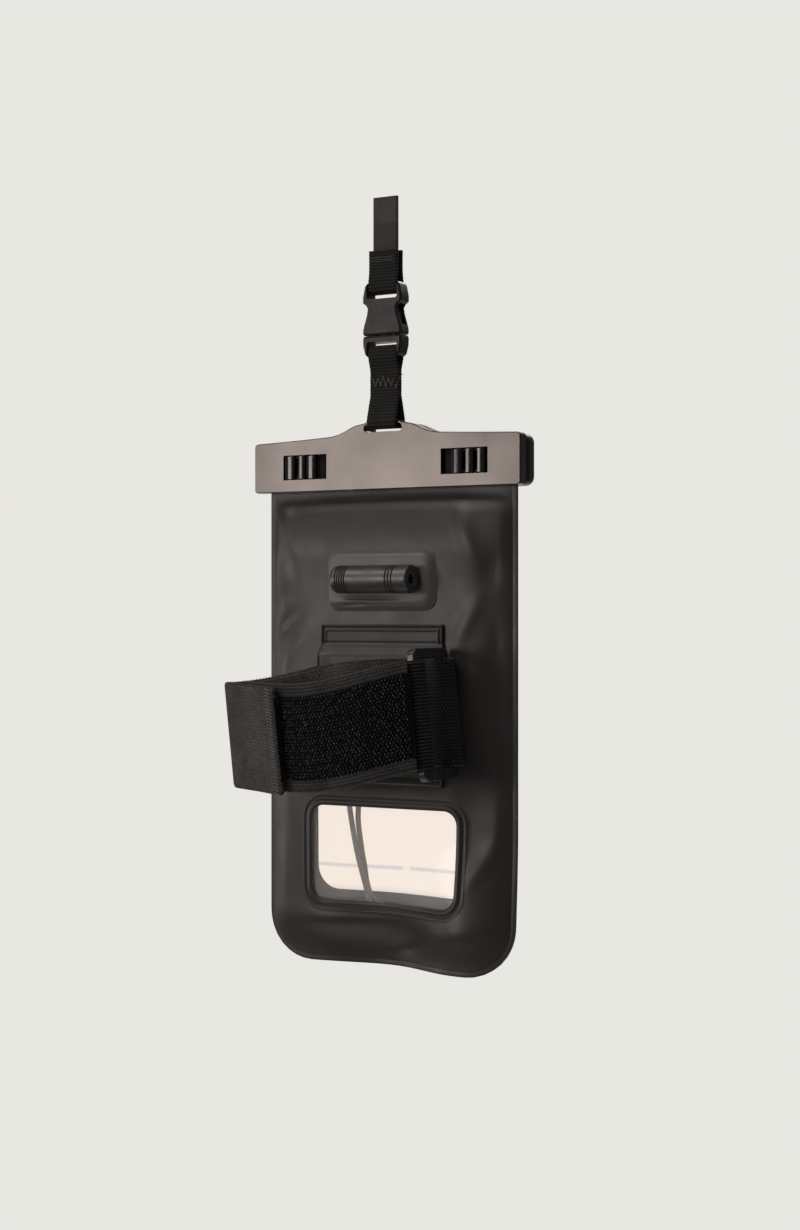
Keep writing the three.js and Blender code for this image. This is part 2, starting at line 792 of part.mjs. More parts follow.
function bent(geometry) {
  const p = geometry.getAttribute("position");
  for (let k = 0; k < p.count; k++) {
    const q = armbandPoint(new THREE.Vector3().fromBufferAttribute(p, k));
    p.setXYZ(k, q.x, q.y, q.z);
  }
  return geometry;
}

// A smooth route in plan through the given points.
function planCurve(plan) {
  const points = plan.map(([x, y]) => new THREE.Vector3(x, y, 0));
  const curve = new THREE.CatmullRomCurve3(points, false, "centripetal");
  curve.arcLengthDivisions = 1200;
  return curve;
}

// A strap on edge along a plan route, width upright: the stretch from one share of its length to another,
// moved sideways by an offset.
function strapAlong(plan, thickness, width, steps, start = 0, end = 1, offset = 0) {
  const curve = planCurve(plan);
  const rows = [];
  for (let k = 0; k <= steps; k++) {
    const share = start + ((end - start) * k) / steps;
    const tangent = curve.getTangentAt(share);
    const side = new THREE.Vector3(-tangent.y, tangent.x, 0).normalize();
    const point = curve.getPointAt(share).addScaledVector(side, offset);
    const corner = (across, up) =>
      new THREE.Vector3(point.x + side.x * across, point.y + side.y * across, up);
    const half = thickness / 2;
    rows.push([
      corner(-half, -width / 2),
      corner(half, -width / 2),
      corner(half, width / 2),
      corner(-half, width / 2),
    ]);
  }
  return bent(skinOf(rows));
}

// Depth layers at the ring's rear bar, worked out from the back sheet outwards
const backPlateY = rearSheetFlatY - puffDepth;
const tunnelStrapY = backPlateY - gap - strapThickness / 2;
const patchInnerY = tunnelStrapY - strapThickness / 2 - gap;
const patchOuterY = patchInnerY - patchThickness;
const innerStrapY = patchOuterY - gap - strapThickness / 2;
const ringRearY = tunnelStrapY - strapThickness / 2 - gap;
const rearBarY = ringRearY - ringBar / 2;
const rearWrapY = ringRearY - ringBar - gap - strapThickness / 2;
const rearWrapX = ringX + ringThickness / 2 + gap + strapThickness / 2;
const frontBarY = ringFrontY + ringBar / 2;

const strapPlan = [
  [ringX + 0.4, ringFrontY - gap - elasticThickness - gap - strapThickness / 2],
  [20, -37.5],
  [8, -40.4],
  [-6, -41.0],
  [-20, -38.6],
  [-33, -34.0],
  [-41.4, -29.2],
  [-43.9, -26.6],
  [-42.6, -23.8],
  [-36, -17.6],
  [-28, -12.2],
  [-20, innerStrapY - 0.5],
  [-10, innerStrapY - 0.1],
  [14, innerStrapY - 0.1],
  [21.5, innerStrapY - 1.5],
  [ringX - 1.5, rearWrapY],
  [ringX + ringThickness / 2, rearWrapY],
  [rearWrapX, rearBarY - 1],
  [rearWrapX, rearBarY + 1],
  [ringX + ringThickness / 2, tunnelStrapY],
  [ringX - 3, tunnelStrapY],
  [10, tunnelStrapY],
  [-20, tunnelStrapY],
  [-27, tunnelStrapY - 0.6],
  [-35.5, -9.0],
  [-42.6, -15.0],
  [-47.6, -21.4],
  [-49.4, -27.4],
  [-47.4, -32.2],
  [-42, -35.3],
  [-32, -38.9],
  [-21, -43.1],
];

const elasticY = ringFrontY - gap - elasticThickness / 2;
const elasticBackY = ringFrontY + ringBar + gap + elasticThickness / 2;
const elasticPlan = [
  [12.5, -37.0],
  [19, -34.9],
  [ringX - 1.5, elasticY],
  [ringX + ringThickness / 2, elasticY],
  [ringX + ringThickness / 2 + gap + elasticThickness / 2, frontBarY - 1],
  [ringX + ringThickness / 2 + gap + elasticThickness / 2, frontBarY + 1],
  [ringX + ringThickness / 2, elasticBackY],
  [ringX - 2.5, elasticBackY],
  [19, -32.0],
  [12.0, -34.8],
];

function armbandRing() {
  const rearY = ringRearY;
  const outerHalf = ringInnerHeight / 2 + ringBar;
  const innerHalf = ringInnerHeight / 2;
  const outline = roundedRectangle(ringFrontY, -outerHalf, rearY, outerHalf, ringCornerRadius);
  const hole = roundedRectangle(ringFrontY + ringBar, -innerHalf, rearY - ringBar, innerHalf, 0.8);
  outline.holes.push(new THREE.Path(hole.getPoints(3)));
  const bevel = 0.6;
  const geometry = new THREE.ExtrudeGeometry(outline, {
    depth: ringThickness - 2 * bevel,
    bevelEnabled: true,
    bevelThickness: bevel,
    bevelSize: bevel,
    bevelOffset: -bevel,
    bevelSegments: 2,
    curveSegments: 4,
  });
  geometry.translate(0, 0, -(ringThickness - 2 * bevel) / 2);
  const turn = new THREE.Matrix4().makeBasis(
    new THREE.Vector3(0, 1, 0),
    new THREE.Vector3(0, 0, 1),
    new THREE.Vector3(1, 0, 0),
  );
  return bent(geometry.applyMatrix4(turn).translate(ringX, 0, 0));
}

// The patch follows the back sheet and lifts over the strap between its two welds.
function patchLift(x, z) {
  const top = smooth((patchTopZ - patchTopWeld - z) / 3.4);
  const bottom = smooth((z - patchBottomZ - patchBottomWeld) / 1.6);
  const full = backPlateY - gap - patchInnerY;
  const flare = patchEdgeFlare * smooth((patchLeftX + 7 - x) / 7);
  return (full + flare) * top * bottom;
}

function strapPatch() {
  const zs = [patchTopZ, patchTopZ - patchTopWeld / 2, patchTopZ - patchTopWeld];
  for (let k = 1; k <= 3; k++) zs.push(patchTopZ - patchTopWeld - (3.4 * k) / 3);
  const liftStart = patchTopZ - patchTopWeld - 3.4;
  const liftEnd = patchBottomZ + patchBottomWeld + 1.6;
  for (let k = 1; k < 8; k++) zs.push(liftStart + ((liftEnd - liftStart) * k) / 8);
  for (let k = 0; k <= 3; k++) zs.push(liftEnd - (1.6 * k) / 3);
  zs.push(patchBottomZ);
  const seat = (x, z) => Math.min(rearSkinY(x, z), backPlateY) - gap - patchLift(x, z);
  const patch = sheetBetween({
    zs,
    halfAt: () => (patchRightX - patchLeftX) / 2,
    centreX: (patchLeftX + patchRightX) / 2,
    columns: 10,
    lowY: (x, z) => seat(x, z) - patchThickness,
    highY: seat,
  });
  return cutFrom(patch, insideBackSheet);
}

addPiece("strap_patch", strapPatch(), "sheet");
addPiece("armband_ring", armbandRing(), "buckle");
addPiece("arm_strap", strapAlong(strapPlan, strapThickness, strapWidth, 120), "pile");
addPiece("ring_elastic_loop", strapAlong(elasticPlan, elasticThickness, strapWidth, 36), "webbing");
const strapLength = planCurve(strapPlan).getLength();
addPiece(
  "hook_tape",
  strapAlong(
    strapPlan,
    hookTapeThickness,
    strapWidth - 2 * hookTapeInset,
    14,
    1 - (hookTapeLength + hookTapeInset) / strapLength,
    1 - hookTapeInset / strapLength,
    strapThickness / 2 + gap + hookTapeThickness / 2,
  ),
  "webbing",
);

// Lanyard: webbing loops are closed outlines in Y and Z, extruded along X.
function extrudeInX(shape, width, curveSegments = 4) {
  const geometry = new THREE.ExtrudeGeometry(shape, { depth: width, bevelEnabled: false, curveSegments });
  geometry.translate(0, 0, -width / 2);
  const turn = new THREE.Matrix4().makeBasis(
    new THREE.Vector3(0, 1, 0),
    new THREE.Vector3(0, 0, 1),
    new THREE.Vector3(1, 0, 0),
  );
  return geometry.applyMatrix4(turn);
}

// A closed loop of webbing round a route in Y and Z: the route's two offsets.
function webbingLoop(route, thickness, steps) {
  const curve = new THREE.CatmullRomCurve3(
    route.map(([y, z]) => new THREE.Vector3(y, z, 0)),
    true,
    "centripetal",
  );
  const offset = (distance) => {
    const points = [];
    for (let k = 0; k < steps; k++) {
      const p = curve.getPointAt(k / steps);
      const t = curve.getTangentAt(k / steps);
      points.push(new THREE.Vector2(p.x - t.y * distance, p.y + t.x * distance));
    }
    return points;
  };
  const sides = [offset(thickness / 2), offset(-thickness / 2)];
  const areas = sides.map((points) => Math.abs(THREE.ShapeUtils.area(points)));
  const [outer, inner] = areas[0] > areas[1] ? sides : [sides[1], sides[0]];
  const shape = new THREE.Shape(outer);
  shape.holes.push(new THREE.Path(inner));
  return shape;
}

const lanyardY = (rearJawBackY + rearJawFrontY) / 2;
const webHalf = lanyardThickness / 2;
const tabRearWebY = rearJawBackY - gap - webHalf;
const tabFrontWebY = rearJawFrontY + gap + webHalf;
const pliesHalf = webHalf + gap / 2;
const lowerSlotTopZ = buckleBaseZ + lowerBarHeight + lowerSlotHeight;
const barHalfY = 1.3;
const buckleSlotHalf = lanyardWidth / 2 + gap;
const barWebY = barHalfY + gap + webHalf;
const barTurn = gap + webHalf;

// The middle of the webbing on a quarter turn round an edge at (y, z), from an angle in degrees.
function quarterTurn(y, z, from) {
  return [0, 22.5, 45, 67.5, 90].map((step) => {
    const angle = THREE.MathUtils.degToRad(from + step);
    return [y + barTurn * Math.cos(angle), z + barTurn * Math.sin(angle)];
  });
}
const lowerBarTopZ = buckleBaseZ + lowerBarHeight;

const lanyardLoopRoute = [
  [tabRearWebY, tabPeakZ - 1.2],
  ...quarterTurn(rearJawBackY, slotTopZ, 180),
  ...quarterTurn(rearJawFrontY, slotTopZ, 270),
  [tabFrontWebY, tabPeakZ - 1.2],
  [lanyardY + pliesHalf + 1.0, tabPeakZ + 4.5],
  [lanyardY + pliesHalf, tabPeakZ + 8],
  [lanyardY + pliesHalf, tabPeakZ + 9.5],
  [lanyardY + pliesHalf, buckleBaseZ - 6.5],
  [lanyardY + pliesHalf, buckleBaseZ - 5],
  [lanyardY + barWebY, buckleBaseZ - 0.2],
  [lanyardY + barWebY, lowerBarTopZ - 0.5],
  [lanyardY + barWebY * 0.8, lowerBarTopZ + barTurn],
  [lanyardY, lowerBarTopZ + barTurn * 1.5],
  [lanyardY - barWebY * 0.8, lowerBarTopZ + barTurn],
  [lanyardY - barWebY, lowerBarTopZ - 0.5],
  [lanyardY - barWebY, buckleBaseZ - 0.2],
  [lanyardY - pliesHalf, buckleBaseZ - 5],
  [lanyardY - pliesHalf, buckleBaseZ - 6.5],
  [lanyardY - pliesHalf, tabPeakZ + 9.5],
  [lanyardY - pliesHalf, tabPeakZ + 8],
  [lanyardY - pliesHalf - 1.0, tabPeakZ + 4.5],
];
addPiece(
  "lanyard_loop",
  extrudeInX(webbingLoop(lanyardLoopRoute, lanyardThickness, 120), lanyardWidth),
  "webbing",
);

// The buckle's halves, drawn in X and Z about the lanyard's middle plane
function mirroredOutline(rightSide) {
  const shape = new THREE.Shape();
  rightSide.forEach(([x, z], k) => (k ? shape.lineTo(x, z) : shape.moveTo(x, z)));
  [...rightSide].reverse().forEach(([x, z]) => shape.lineTo(-x, z));
  return shape;
}

function buckleMale() {
  const half = buckleHalfWidth;
  const baseShape = mirroredOutline([
    [half - 1.9, buckleBaseZ],
    [half - 0.9, buckleBaseZ + 0.9],
    [half - 0.1, buckleBaseZ + 4],
    [half, buckleMouthZ - gap - 1],
    [half - 0.4, buckleMouthZ - gap],
  ]);
  const base = extrudeInY(baseShape, lanyardY - buckleThickness / 2, lanyardY + buckleThickness / 2, 0.7);
  const slot = openingThrough(
    -buckleSlotHalf,
    buckleBaseZ + lowerBarHeight,
    buckleSlotHalf,
    lowerSlotTopZ,
    0.8,
    lanyardY - buckleThickness,
    lanyardY + buckleThickness,
  );
  const barRelief = [-1, 1].map((side) =>
    boxBetween(
      [-lanyardWidth / 2 - gap, lanyardY + (side > 0 ? barHalfY : -buckleThickness), buckleBaseZ - 1],
      [
        lanyardWidth / 2 + gap,
        lanyardY + (side > 0 ? buckleThickness : -barHalfY),
        buckleBaseZ + lowerBarHeight + 0.6,
      ],
    ),
  );
  const prongSide = (side) => {
    const shape = new THREE.Shape();
    const at = (x, z) => [side * x, z];
    shape.moveTo(...at(prongInnerHalf, buckleMouthZ - 2));
    shape.lineTo(...at(prongOuterHalf - 0.8, buckleMouthZ - 2));
    shape.lineTo(...at(prongOuterHalf - 0.8, prongTopZ - 6.6));
    shape.lineTo(...at(prongOuterHalf, prongTopZ - 6.2));
    shape.lineTo(...at(prongOuterHalf, prongTopZ - 3.6));
    shape.quadraticCurveTo(...at(prongOuterHalf - 0.4, prongTopZ - 0.4), ...at(prongInnerHalf + 0.6, prongTopZ));
    shape.lineTo(...at(prongInnerHalf, prongTopZ - 0.8));
    shape.closePath();
    return extrudeInY(shape, lanyardY - prongThickness / 2, lanyardY + prongThickness / 2, 0, 3);
  };
  const guide = boxBetween(
    [-1.1, lanyardY - prongThickness / 2, buckleMouthZ - 2],
    [1.1, lanyardY + prongThickness / 2, prongTopZ - 2.5],
  );
  return cutFrom(joined(base, prongSide(1), prongSide(-1), guide), slot, ...barRelief);
}

function buckleFemale() {
  const half = buckleHalfWidth;
  const shape = mirroredOutline([
    [half - 0.5, buckleMouthZ],
    [half, buckleMouthZ + 0.8],
    [half - 0.15, buckleMouthZ + 2.4],
    [half - 0.6, buckleMouthZ + 4],
    [buckleWaistHalf + 0.35, buckleMouthZ + 7.4],
    [buckleWaistHalf, buckleMouthZ + 9.6],
    [buckleWaistHalf + 0.7, buckleMouthZ + 10.8],
    [half, buckleMouthZ + 11.8],
    [half, buckleMouthZ + 13.8],
    [half - 0.8, buckleTopZ - 1.2],
    [half - 1.9, buckleTopZ],
  ]);
  const body = extrudeInY(shape, lanyardY - buckleThickness / 2, lanyardY + buckleThickness / 2, 0.7);
  const cavityHalfY = prongThickness / 2 + gap;
  const cavityTopZ = prongTopZ + gap;
  const cavity = boxBetween(
    [-prongOuterHalf - gap, lanyardY - cavityHalfY, buckleMouthZ - 1],
    [prongOuterHalf + gap, lanyardY + cavityHalfY, cavityTopZ],
  );
  const sideOpening = boxBetween(
    [-half - 1, lanyardY - cavityHalfY, buckleMouthZ + 3.6],
    [half + 1, lanyardY + cavityHalfY, cavityTopZ],
  );
  const slot = openingThrough(
    -buckleSlotHalf,
    buckleTopZ - upperBarHeight - upperSlotHeight,
    buckleSlotHalf,
    buckleTopZ - upperBarHeight,
    0.8,
    lanyardY - buckleThickness,
    lanyardY + buckleThickness,
  );
  const barRelief = [-1, 1].map((side) =>
    boxBetween(
      [
        -lanyardWidth / 2 - gap,
        lanyardY + (side > 0 ? barHalfY : -buckleThickness),
        buckleTopZ - upperBarHeight - 0.6,
      ],
      [lanyardWidth / 2 + gap, lanyardY + (side > 0 ? buckleThickness : -barHalfY), buckleTopZ + 1],
    ),
  );
  return cutFrom(body, cavity, sideOpening, slot, ...barRelief);
}

addPiece("buckle_male", buckleMale(), "buckle");
addPiece("buckle_female", buckleFemale(), "buckle");

// The upper webbing is folded round the buckle's top bar, with the neck strap's end between its plies.
const upperBarBottomZ = buckleTopZ - upperBarHeight;
const upperPlyY = neckStrapThickness / 2 + gap + webHalf;
function upperWebbing() {
  const route = [
    [-upperPlyY, upperWebbingTopZ],
    [-upperPlyY, buckleTopZ + 4],
    [-barWebY, buckleTopZ],
    [-barWebY, upperBarBottomZ + 0.5],
    [-barWebY * 0.8, upperBarBottomZ - barTurn],
    [0, upperBarBottomZ - barTurn * 1.5],
    [barWebY * 0.8, upperBarBottomZ - barTurn],
    [barWebY, upperBarBottomZ + 0.5],
    [barWebY, buckleTopZ],
    [upperPlyY, buckleTopZ + 4],
    [upperPlyY, upperWebbingTopZ],
  ];
  const curve = new THREE.CatmullRomCurve3(
    route.map(([y, z]) => new THREE.Vector3(0, lanyardY + y, z)),
    false,
    "centripetal",
  );
  const steps = 44;
  const rows = [];
  for (let k = 0; k <= steps; k++) {
    const p = curve.getPointAt(k / steps);
    const t = curve.getTangentAt(k / steps);
    const side = new THREE.Vector3(0, -t.z, t.y);
    const corner = (x, across) => new THREE.Vector3(x, p.y + side.y * across, p.z + side.z * across);
    const half = lanyardWidth / 2;
    rows.push([corner(-half, -webHalf), corner(half, -webHalf), corner(half, webHalf), corner(-half, webHalf)]);
  }
  return skinOf(rows);
}

addPiece("upper_webbing", upperWebbing(), "webbing");
addPiece(
  "neck_strap",
  boxBetween(
    [-neckStrapWidth / 2, lanyardY - neckStrapThickness / 2, neckStrapBottomZ],
    [neckStrapWidth / 2, lanyardY + neckStrapThickness / 2, neckStrapTopZ],
  ),
  "webbing",
);

export default part;
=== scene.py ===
"""Looks of the waterproof phone pouch with its clamp, armband and lanyard end.

Shapes are worked out in millimetres on grids of numpy points and become metres in the meshes.
+Z is up, the back of the pouch faces -Y, and the origin is the centre of the lanyard slot.
"""
import math

import bpy
import numpy as np
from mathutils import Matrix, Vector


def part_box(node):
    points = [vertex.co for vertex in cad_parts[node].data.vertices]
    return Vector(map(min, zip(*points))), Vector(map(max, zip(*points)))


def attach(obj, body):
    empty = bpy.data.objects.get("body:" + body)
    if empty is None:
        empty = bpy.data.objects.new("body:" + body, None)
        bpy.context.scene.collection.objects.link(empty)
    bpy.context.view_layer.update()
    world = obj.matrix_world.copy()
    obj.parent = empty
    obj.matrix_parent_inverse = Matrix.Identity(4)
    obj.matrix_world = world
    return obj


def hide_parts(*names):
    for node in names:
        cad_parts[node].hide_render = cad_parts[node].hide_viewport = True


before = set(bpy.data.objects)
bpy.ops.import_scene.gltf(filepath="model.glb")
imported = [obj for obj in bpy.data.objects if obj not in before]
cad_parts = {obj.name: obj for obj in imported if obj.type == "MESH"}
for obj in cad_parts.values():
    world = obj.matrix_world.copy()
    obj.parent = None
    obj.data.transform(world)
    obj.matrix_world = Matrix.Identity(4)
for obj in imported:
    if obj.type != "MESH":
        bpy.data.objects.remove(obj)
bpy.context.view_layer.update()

CASE = "case"
LANYARD_TOP = "lanyard_top"

# Sizes in millimetres, as in the solids but for the sheets' flat rim, WELD, and the screen's corners
GAP = 0.3
SHEET = 0.5
FILM = 0.4
SHEET_FLAT_Y = GAP / 2 + SHEET
POUCH_HALF = 51.0
POUCH_BOTTOM = -193.7
POUCH_CORNER = 17.5
NECK_TOP = -5.8
CLAMP_BOTTOM = -22.0
WELD = 1.4
PUFF = 3.4
PUFF_RAMP_TOP = 24.0
PUFF_RAMP_BOTTOM = 20.0
HEM_WAVE = 5.0
HEM_WAVE_X = 14.0
HEM_WAVE_HALF = 18.0
HEM_WAVE_HIGH = 52.0
PAD_THICK = 1.4
PAD_DOME = 1.7
BARREL_R = 5.05
BARREL_LONG = 32.6
BARREL_X = -17.4
BARREL_Z = -54.3
PATCH_THICK = 0.6
PATCH_TOP_WELD = 6.6
PATCH_BOTTOM_WELD = 3.4
STRAP_WIDTH = 37.4
STRAP_THICK = 2.0
SELVAGE = 4.0
HOOK_THICK = 1.1
RING_X = 28.0
RING_Z = -101.1
BAND_TILT = math.radians(6.5)
BAND_REACH = 78.0
BAND_SAG = 3.2
RIB_PITCH = 1.16
LANYARD_Y = -3.35

# Width and thickness of each strap's section, and the points across it
ARMBAND_SECTION = (STRAP_WIDTH, STRAP_THICK, 36)
ELASTIC_SECTION = (STRAP_WIDTH, 1.8, 190)
HOOK_SECTION = (STRAP_WIDTH - 1.4, HOOK_THICK, 30)
WEBBING_SECTION = (11.9, 1.2, 20)
NECK_SECTION = (10.2, 1.5, 20)

# Openings and plates: low and high X, low and high Z, corner radius
WINDOW = (-31.0, 29.0, -170.7, -136.2, 5.0)
SCREEN = (-33.0, 33.0, -167.7, -30.2, 8.5)
PAD = (-24.1, 21.3, -65.6, -43.0, 5.5)
PATCH = (-26.4, 24.1, -128.1, -70.4)

# Colours in linear light
FILM_TINT = (1.0, 0.985, 0.97)
BACKDROP = (0.807, 0.799, 0.761)


def camera():
    """The photograph's view: 30 degrees round to the right, level, 60 mm lens."""
    data = bpy.data.cameras.new("photo_view")
    focal_px, frame_px = 2034.0, 1230.0
    data.sensor_width = 36.0
    data.lens = data.sensor_width * focal_px / frame_px
    data.clip_start = 0.01
    data.clip_end = 50.0
    eye = bpy.data.objects.new("photo_view", data)
    eye.location = (0.3689, -0.6322, -0.0670)
    eye.rotation_euler = (math.radians(90), 0, math.radians(30))
    bpy.context.scene.collection.objects.link(eye)
    bpy.context.scene.camera = eye


camera()


# Arithmetic on whole arrays

def smooth(t):
    """Smooth step: t squared times three less two t, held to 0 and 1 at the ends."""
    t = np.clip(t, 0.0, 1.0)
    return t * t * (3.0 - 2.0 * t)


def bump(x, centre, width):
    """Bell curve: e to the minus square of the distance from the centre over the width."""
    return np.exp(-(((x - centre) / width) ** 2))


def half_width(z):
    """Half the pouch's width: straight sides, then a quarter circle at each bottom corner."""
    drop = np.clip(POUCH_CORNER - (z - POUCH_BOTTOM), 0.0, POUCH_CORNER)
    return POUCH_HALF - POUCH_CORNER + np.sqrt(POUCH_CORNER**2 - drop**2)


def puff(x, z):
    """Stand-off of a sheet from the middle plane: nothing at the clamp and the weld, flat between."""
    top = smooth((CLAMP_BOTTOM - z) / PUFF_RAMP_TOP)
    bottom = smooth((z - POUCH_BOTTOM - WELD) / PUFF_RAMP_BOTTOM)
    across = np.minimum(1.0, np.abs(x) / np.maximum(1.0, half_width(z) - WELD))
    return PUFF * top * bottom * (1.0 - across**6)


def hem(x, z):
    """Wave of the lower edge in depth: a distance times a bell curve, growing downwards."""
    t = (x - HEM_WAVE_X) / HEM_WAVE_HALF
    grow = smooth((POUCH_BOTTOM + HEM_WAVE_HIGH - z) / HEM_WAVE_HIGH)
    return -HEM_WAVE * t * np.exp((1.0 - t * t) / 2.0) * grow


def rear_skin(x, z):
    """Outer side of the back sheet in depth."""
    return -SHEET_FLAT_Y - puff(x, z) + hem(x, z)


def front_skin(x, z):
    """Outer side of the front sheet in depth."""
    return SHEET_FLAT_Y + puff(x, z) + hem(x, z)


def box_distance(x, z, box):
    """Signed distance to a round-cornered rectangle's edge, negative inside it."""
    x0, x1, z0, z1, r = box
    dx = np.abs(x - (x0 + x1) / 2) - (x1 - x0) / 2 + r
    dz = np.abs(z - (z0 + z1) / 2) - (z1 - z0) / 2 + r
    outside = np.hypot(np.maximum(dx, 0), np.maximum(dz, 0))
    return outside + np.minimum(np.maximum(dx, dz), 0) - r


def pouch_edge(x, z):
    """Distance in from the welded sides and bottom, as in a box that goes on far above the mouth."""
    far_above = 200.0
    return -box_distance(x, z, (-POUCH_HALF, POUCH_HALF, POUCH_BOTTOM, far_above, POUCH_CORNER))


# Soft dents of the back sheet: place in X and Z, half sizes, turn in degrees and depth
REAR_DENTS = (
    (-42, -37, 11, 3.2, -74, -0.75), (-45, -50, 5.5, 6.5, 0, 0.60),
    (-45.5, -61, 4, 5, 0, -0.45), (-44.7, -71.5, 10.5, 3, 38, 0.75),
    (-40, -80, 9, 3.2, 50, -0.50), (-42, -94, 6, 12, 0, -0.40),
    (32.5, -38, 11, 3.2, -69, -0.80), (42, -52, 4.5, 9, -14, 0.65),
    (33.5, -69, 10, 3.2, 60, -0.65), (44.5, -76, 4, 9, 6, 0.45),
    (30, -104, 8, 17, 4, -0.90), (46, -106, 6, 18, 4, 0.40),
    (34, -138, 7, 15, -4, 0.50), (46, -140, 5, 12, -8, -0.60),
    (38.5, -155, 10, 3.4, 54, -0.60), (-42, -131, 5, 15, 4, -0.50),
    (-44, -160, 5, 12, 0, -0.35), (-30, -178.5, 12, 4, -5, -0.40),
    (-14, -178.5, 18, 4.2, 0, -1.20), (6, -186, 8, 3.5, 20, 0.60),
    (30, -180, 12, 4.5, 8, -0.80),
)


def dents(x, z):
    """Sum of turned bell-shaped hollows, faded out at the clamp, weld, window, pad and patch."""
    total = np.zeros_like(x)
    for cx, cz, wx, wz, turn, depth in REAR_DENTS:
        c, s = math.cos(math.radians(turn)), math.sin(math.radians(turn))
        u = ((x - cx) * c + (z - cz) * s) / wx
        w = (-(x - cx) * s + (z - cz) * c) / wz
        total += depth * np.exp(-(u * u + w * w))
    total *= smooth((CLAMP_BOTTOM - z) / 8.0) * smooth((pouch_edge(x, z) - 1.0) / 7.0)
    under_patch = (PATCH[0] - 1, PATCH[1] + 1, PATCH[2] - 1, PATCH[3] + 1, 1.0)
    for box, margin in ((WINDOW, 1.0), (PAD, -3.0), (under_patch, 0.0)):
        total *= smooth((box_distance(x, z, box) - margin) / 5.0)
    return total


# Meshes

def grid_faces(rows, columns, wrap_rows=False, wrap_columns=False):
    """Quads of a grid and each corner's row and column, counted on past the wrap."""
    i = np.arange(rows if wrap_rows else rows - 1)[:, None, None]
    j = np.arange(columns if wrap_columns else columns - 1)[None, :, None]
    ci = (i + np.array([0, 0, 1, 1])).astype(int) + 0 * j
    cj = (j + np.array([0, 1, 1, 0])).astype(int) + 0 * i
    quads = (ci % rows) * columns + cj % columns
    return quads.reshape(-1, 4), ci.reshape(-1, 4), cj.reshape(-1, 4)


def signed_volume(points, quads):
    """Volume inside a closed mesh: a sixth of the sum of corner triple products over the quads' halves."""
    a, b, c, d = (points[quads[:, k]] for k in range(4))
    return np.einsum("ij,ij->", a, np.cross(b, c) + np.cross(c, d)) / 6.0


def show(name, points, faces, finish, body, nodes=()):
    """A smooth mesh in metres from millimetre points and lists of faces, with its finish, slot and body."""
    mesh = bpy.data.meshes.new(name)
    mesh.from_pydata((points * 0.001).tolist(), [], faces)
    mesh.polygons.foreach_set("use_smooth", np.ones(len(mesh.polygons), bool))
    mesh.update()
    mesh.materials.append(finish)
    shown = bpy.data.objects.new(name, mesh)
    bpy.context.scene.collection.objects.link(shown)
    if nodes:
        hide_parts(*nodes)
    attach(shown, body)
    return shown


def piece(name, points, faces, finish, node, body=CASE, uv=None, facing=None):
    """A closed mesh of quads, turned right side out, that stands for a node of the solids.

    A strap also keeps its run and its width in millimetres as UVs, and which of its sides each point faces.
    """
    points = np.asarray(points, float).reshape(-1, 3)
    if signed_volume(points, faces) < 0:
        faces = faces[:, ::-1]
        uv = None if uv is None else uv[:, ::-1]
    shown = show(name, points, faces.tolist(), finish, body, (node,))
    if uv is not None:
        layer = shown.data.uv_layers.new(name="lay")
        layer.data.foreach_set("uv", (uv.reshape(-1, 2) * 0.001).astype(np.float32).ravel())
        side = shown.data.attributes.new("facing", "FLOAT", "POINT")
        side.data.foreach_set("value", np.asarray(facing, np.float32).ravel())
    return shown


def modify(shown, name, kind, **settings):
    """Adds a modifier with its settings."""
    added = shown.modifiers.new(name, kind)
    for key, value in settings.items():
        setattr(added, key, value)


def capped(rows, columns):
    """Faces of a tube of sections, with a fan of quads laid across each end section."""
    quads, ci, cj = grid_faces(rows, columns, wrap_columns=True)
    j = np.arange(columns // 2 - 1)
    lid = np.stack([j, j + 1, columns - 2 - j, columns - 1 - j], 1)
    ends = np.concatenate([lid[:, ::-1], lid + (rows - 1) * columns])
    end_i = np.concatenate([np.zeros_like(lid), np.full_like(lid, rows - 1)])
    end_j = np.concatenate([lid[:, ::-1], lid])
    return np.concatenate([quads, ends]), np.concatenate([ci, end_i]), np.concatenate([cj, end_j])


def rounded_outline(box, per_side):
    """Points round a round-cornered rectangle, as many on each side with half of its two corners."""
    x0, x1, z0, z1, r = box
    corners = []
    for k, (cx, cz) in enumerate(((x0 + r, z1 - r), (x1 - r, z1 - r), (x1 - r, z0 + r), (x0 + r, z0 + r))):
        arc = math.pi - (k + np.linspace(0, 1, 9)) * math.pi / 2
        corners.append(np.stack([cx + r * np.cos(arc), cz + r * np.sin(arc)], 1))
    sides = []
    for k in range(4):
        here, there = corners[k], corners[(k + 1) % 4]
        line = np.concatenate([here[4:], there[:5]])
        step = np.concatenate([[0], np.cumsum(np.hypot(*np.diff(line, axis=0).T))])
        want = np.linspace(0, step[-1], per_side + 1)[:-1]
        sides.append(np.stack([np.interp(want, step, line[:, m]) for m in (0, 1)], 1))
    return np.concatenate(sides)


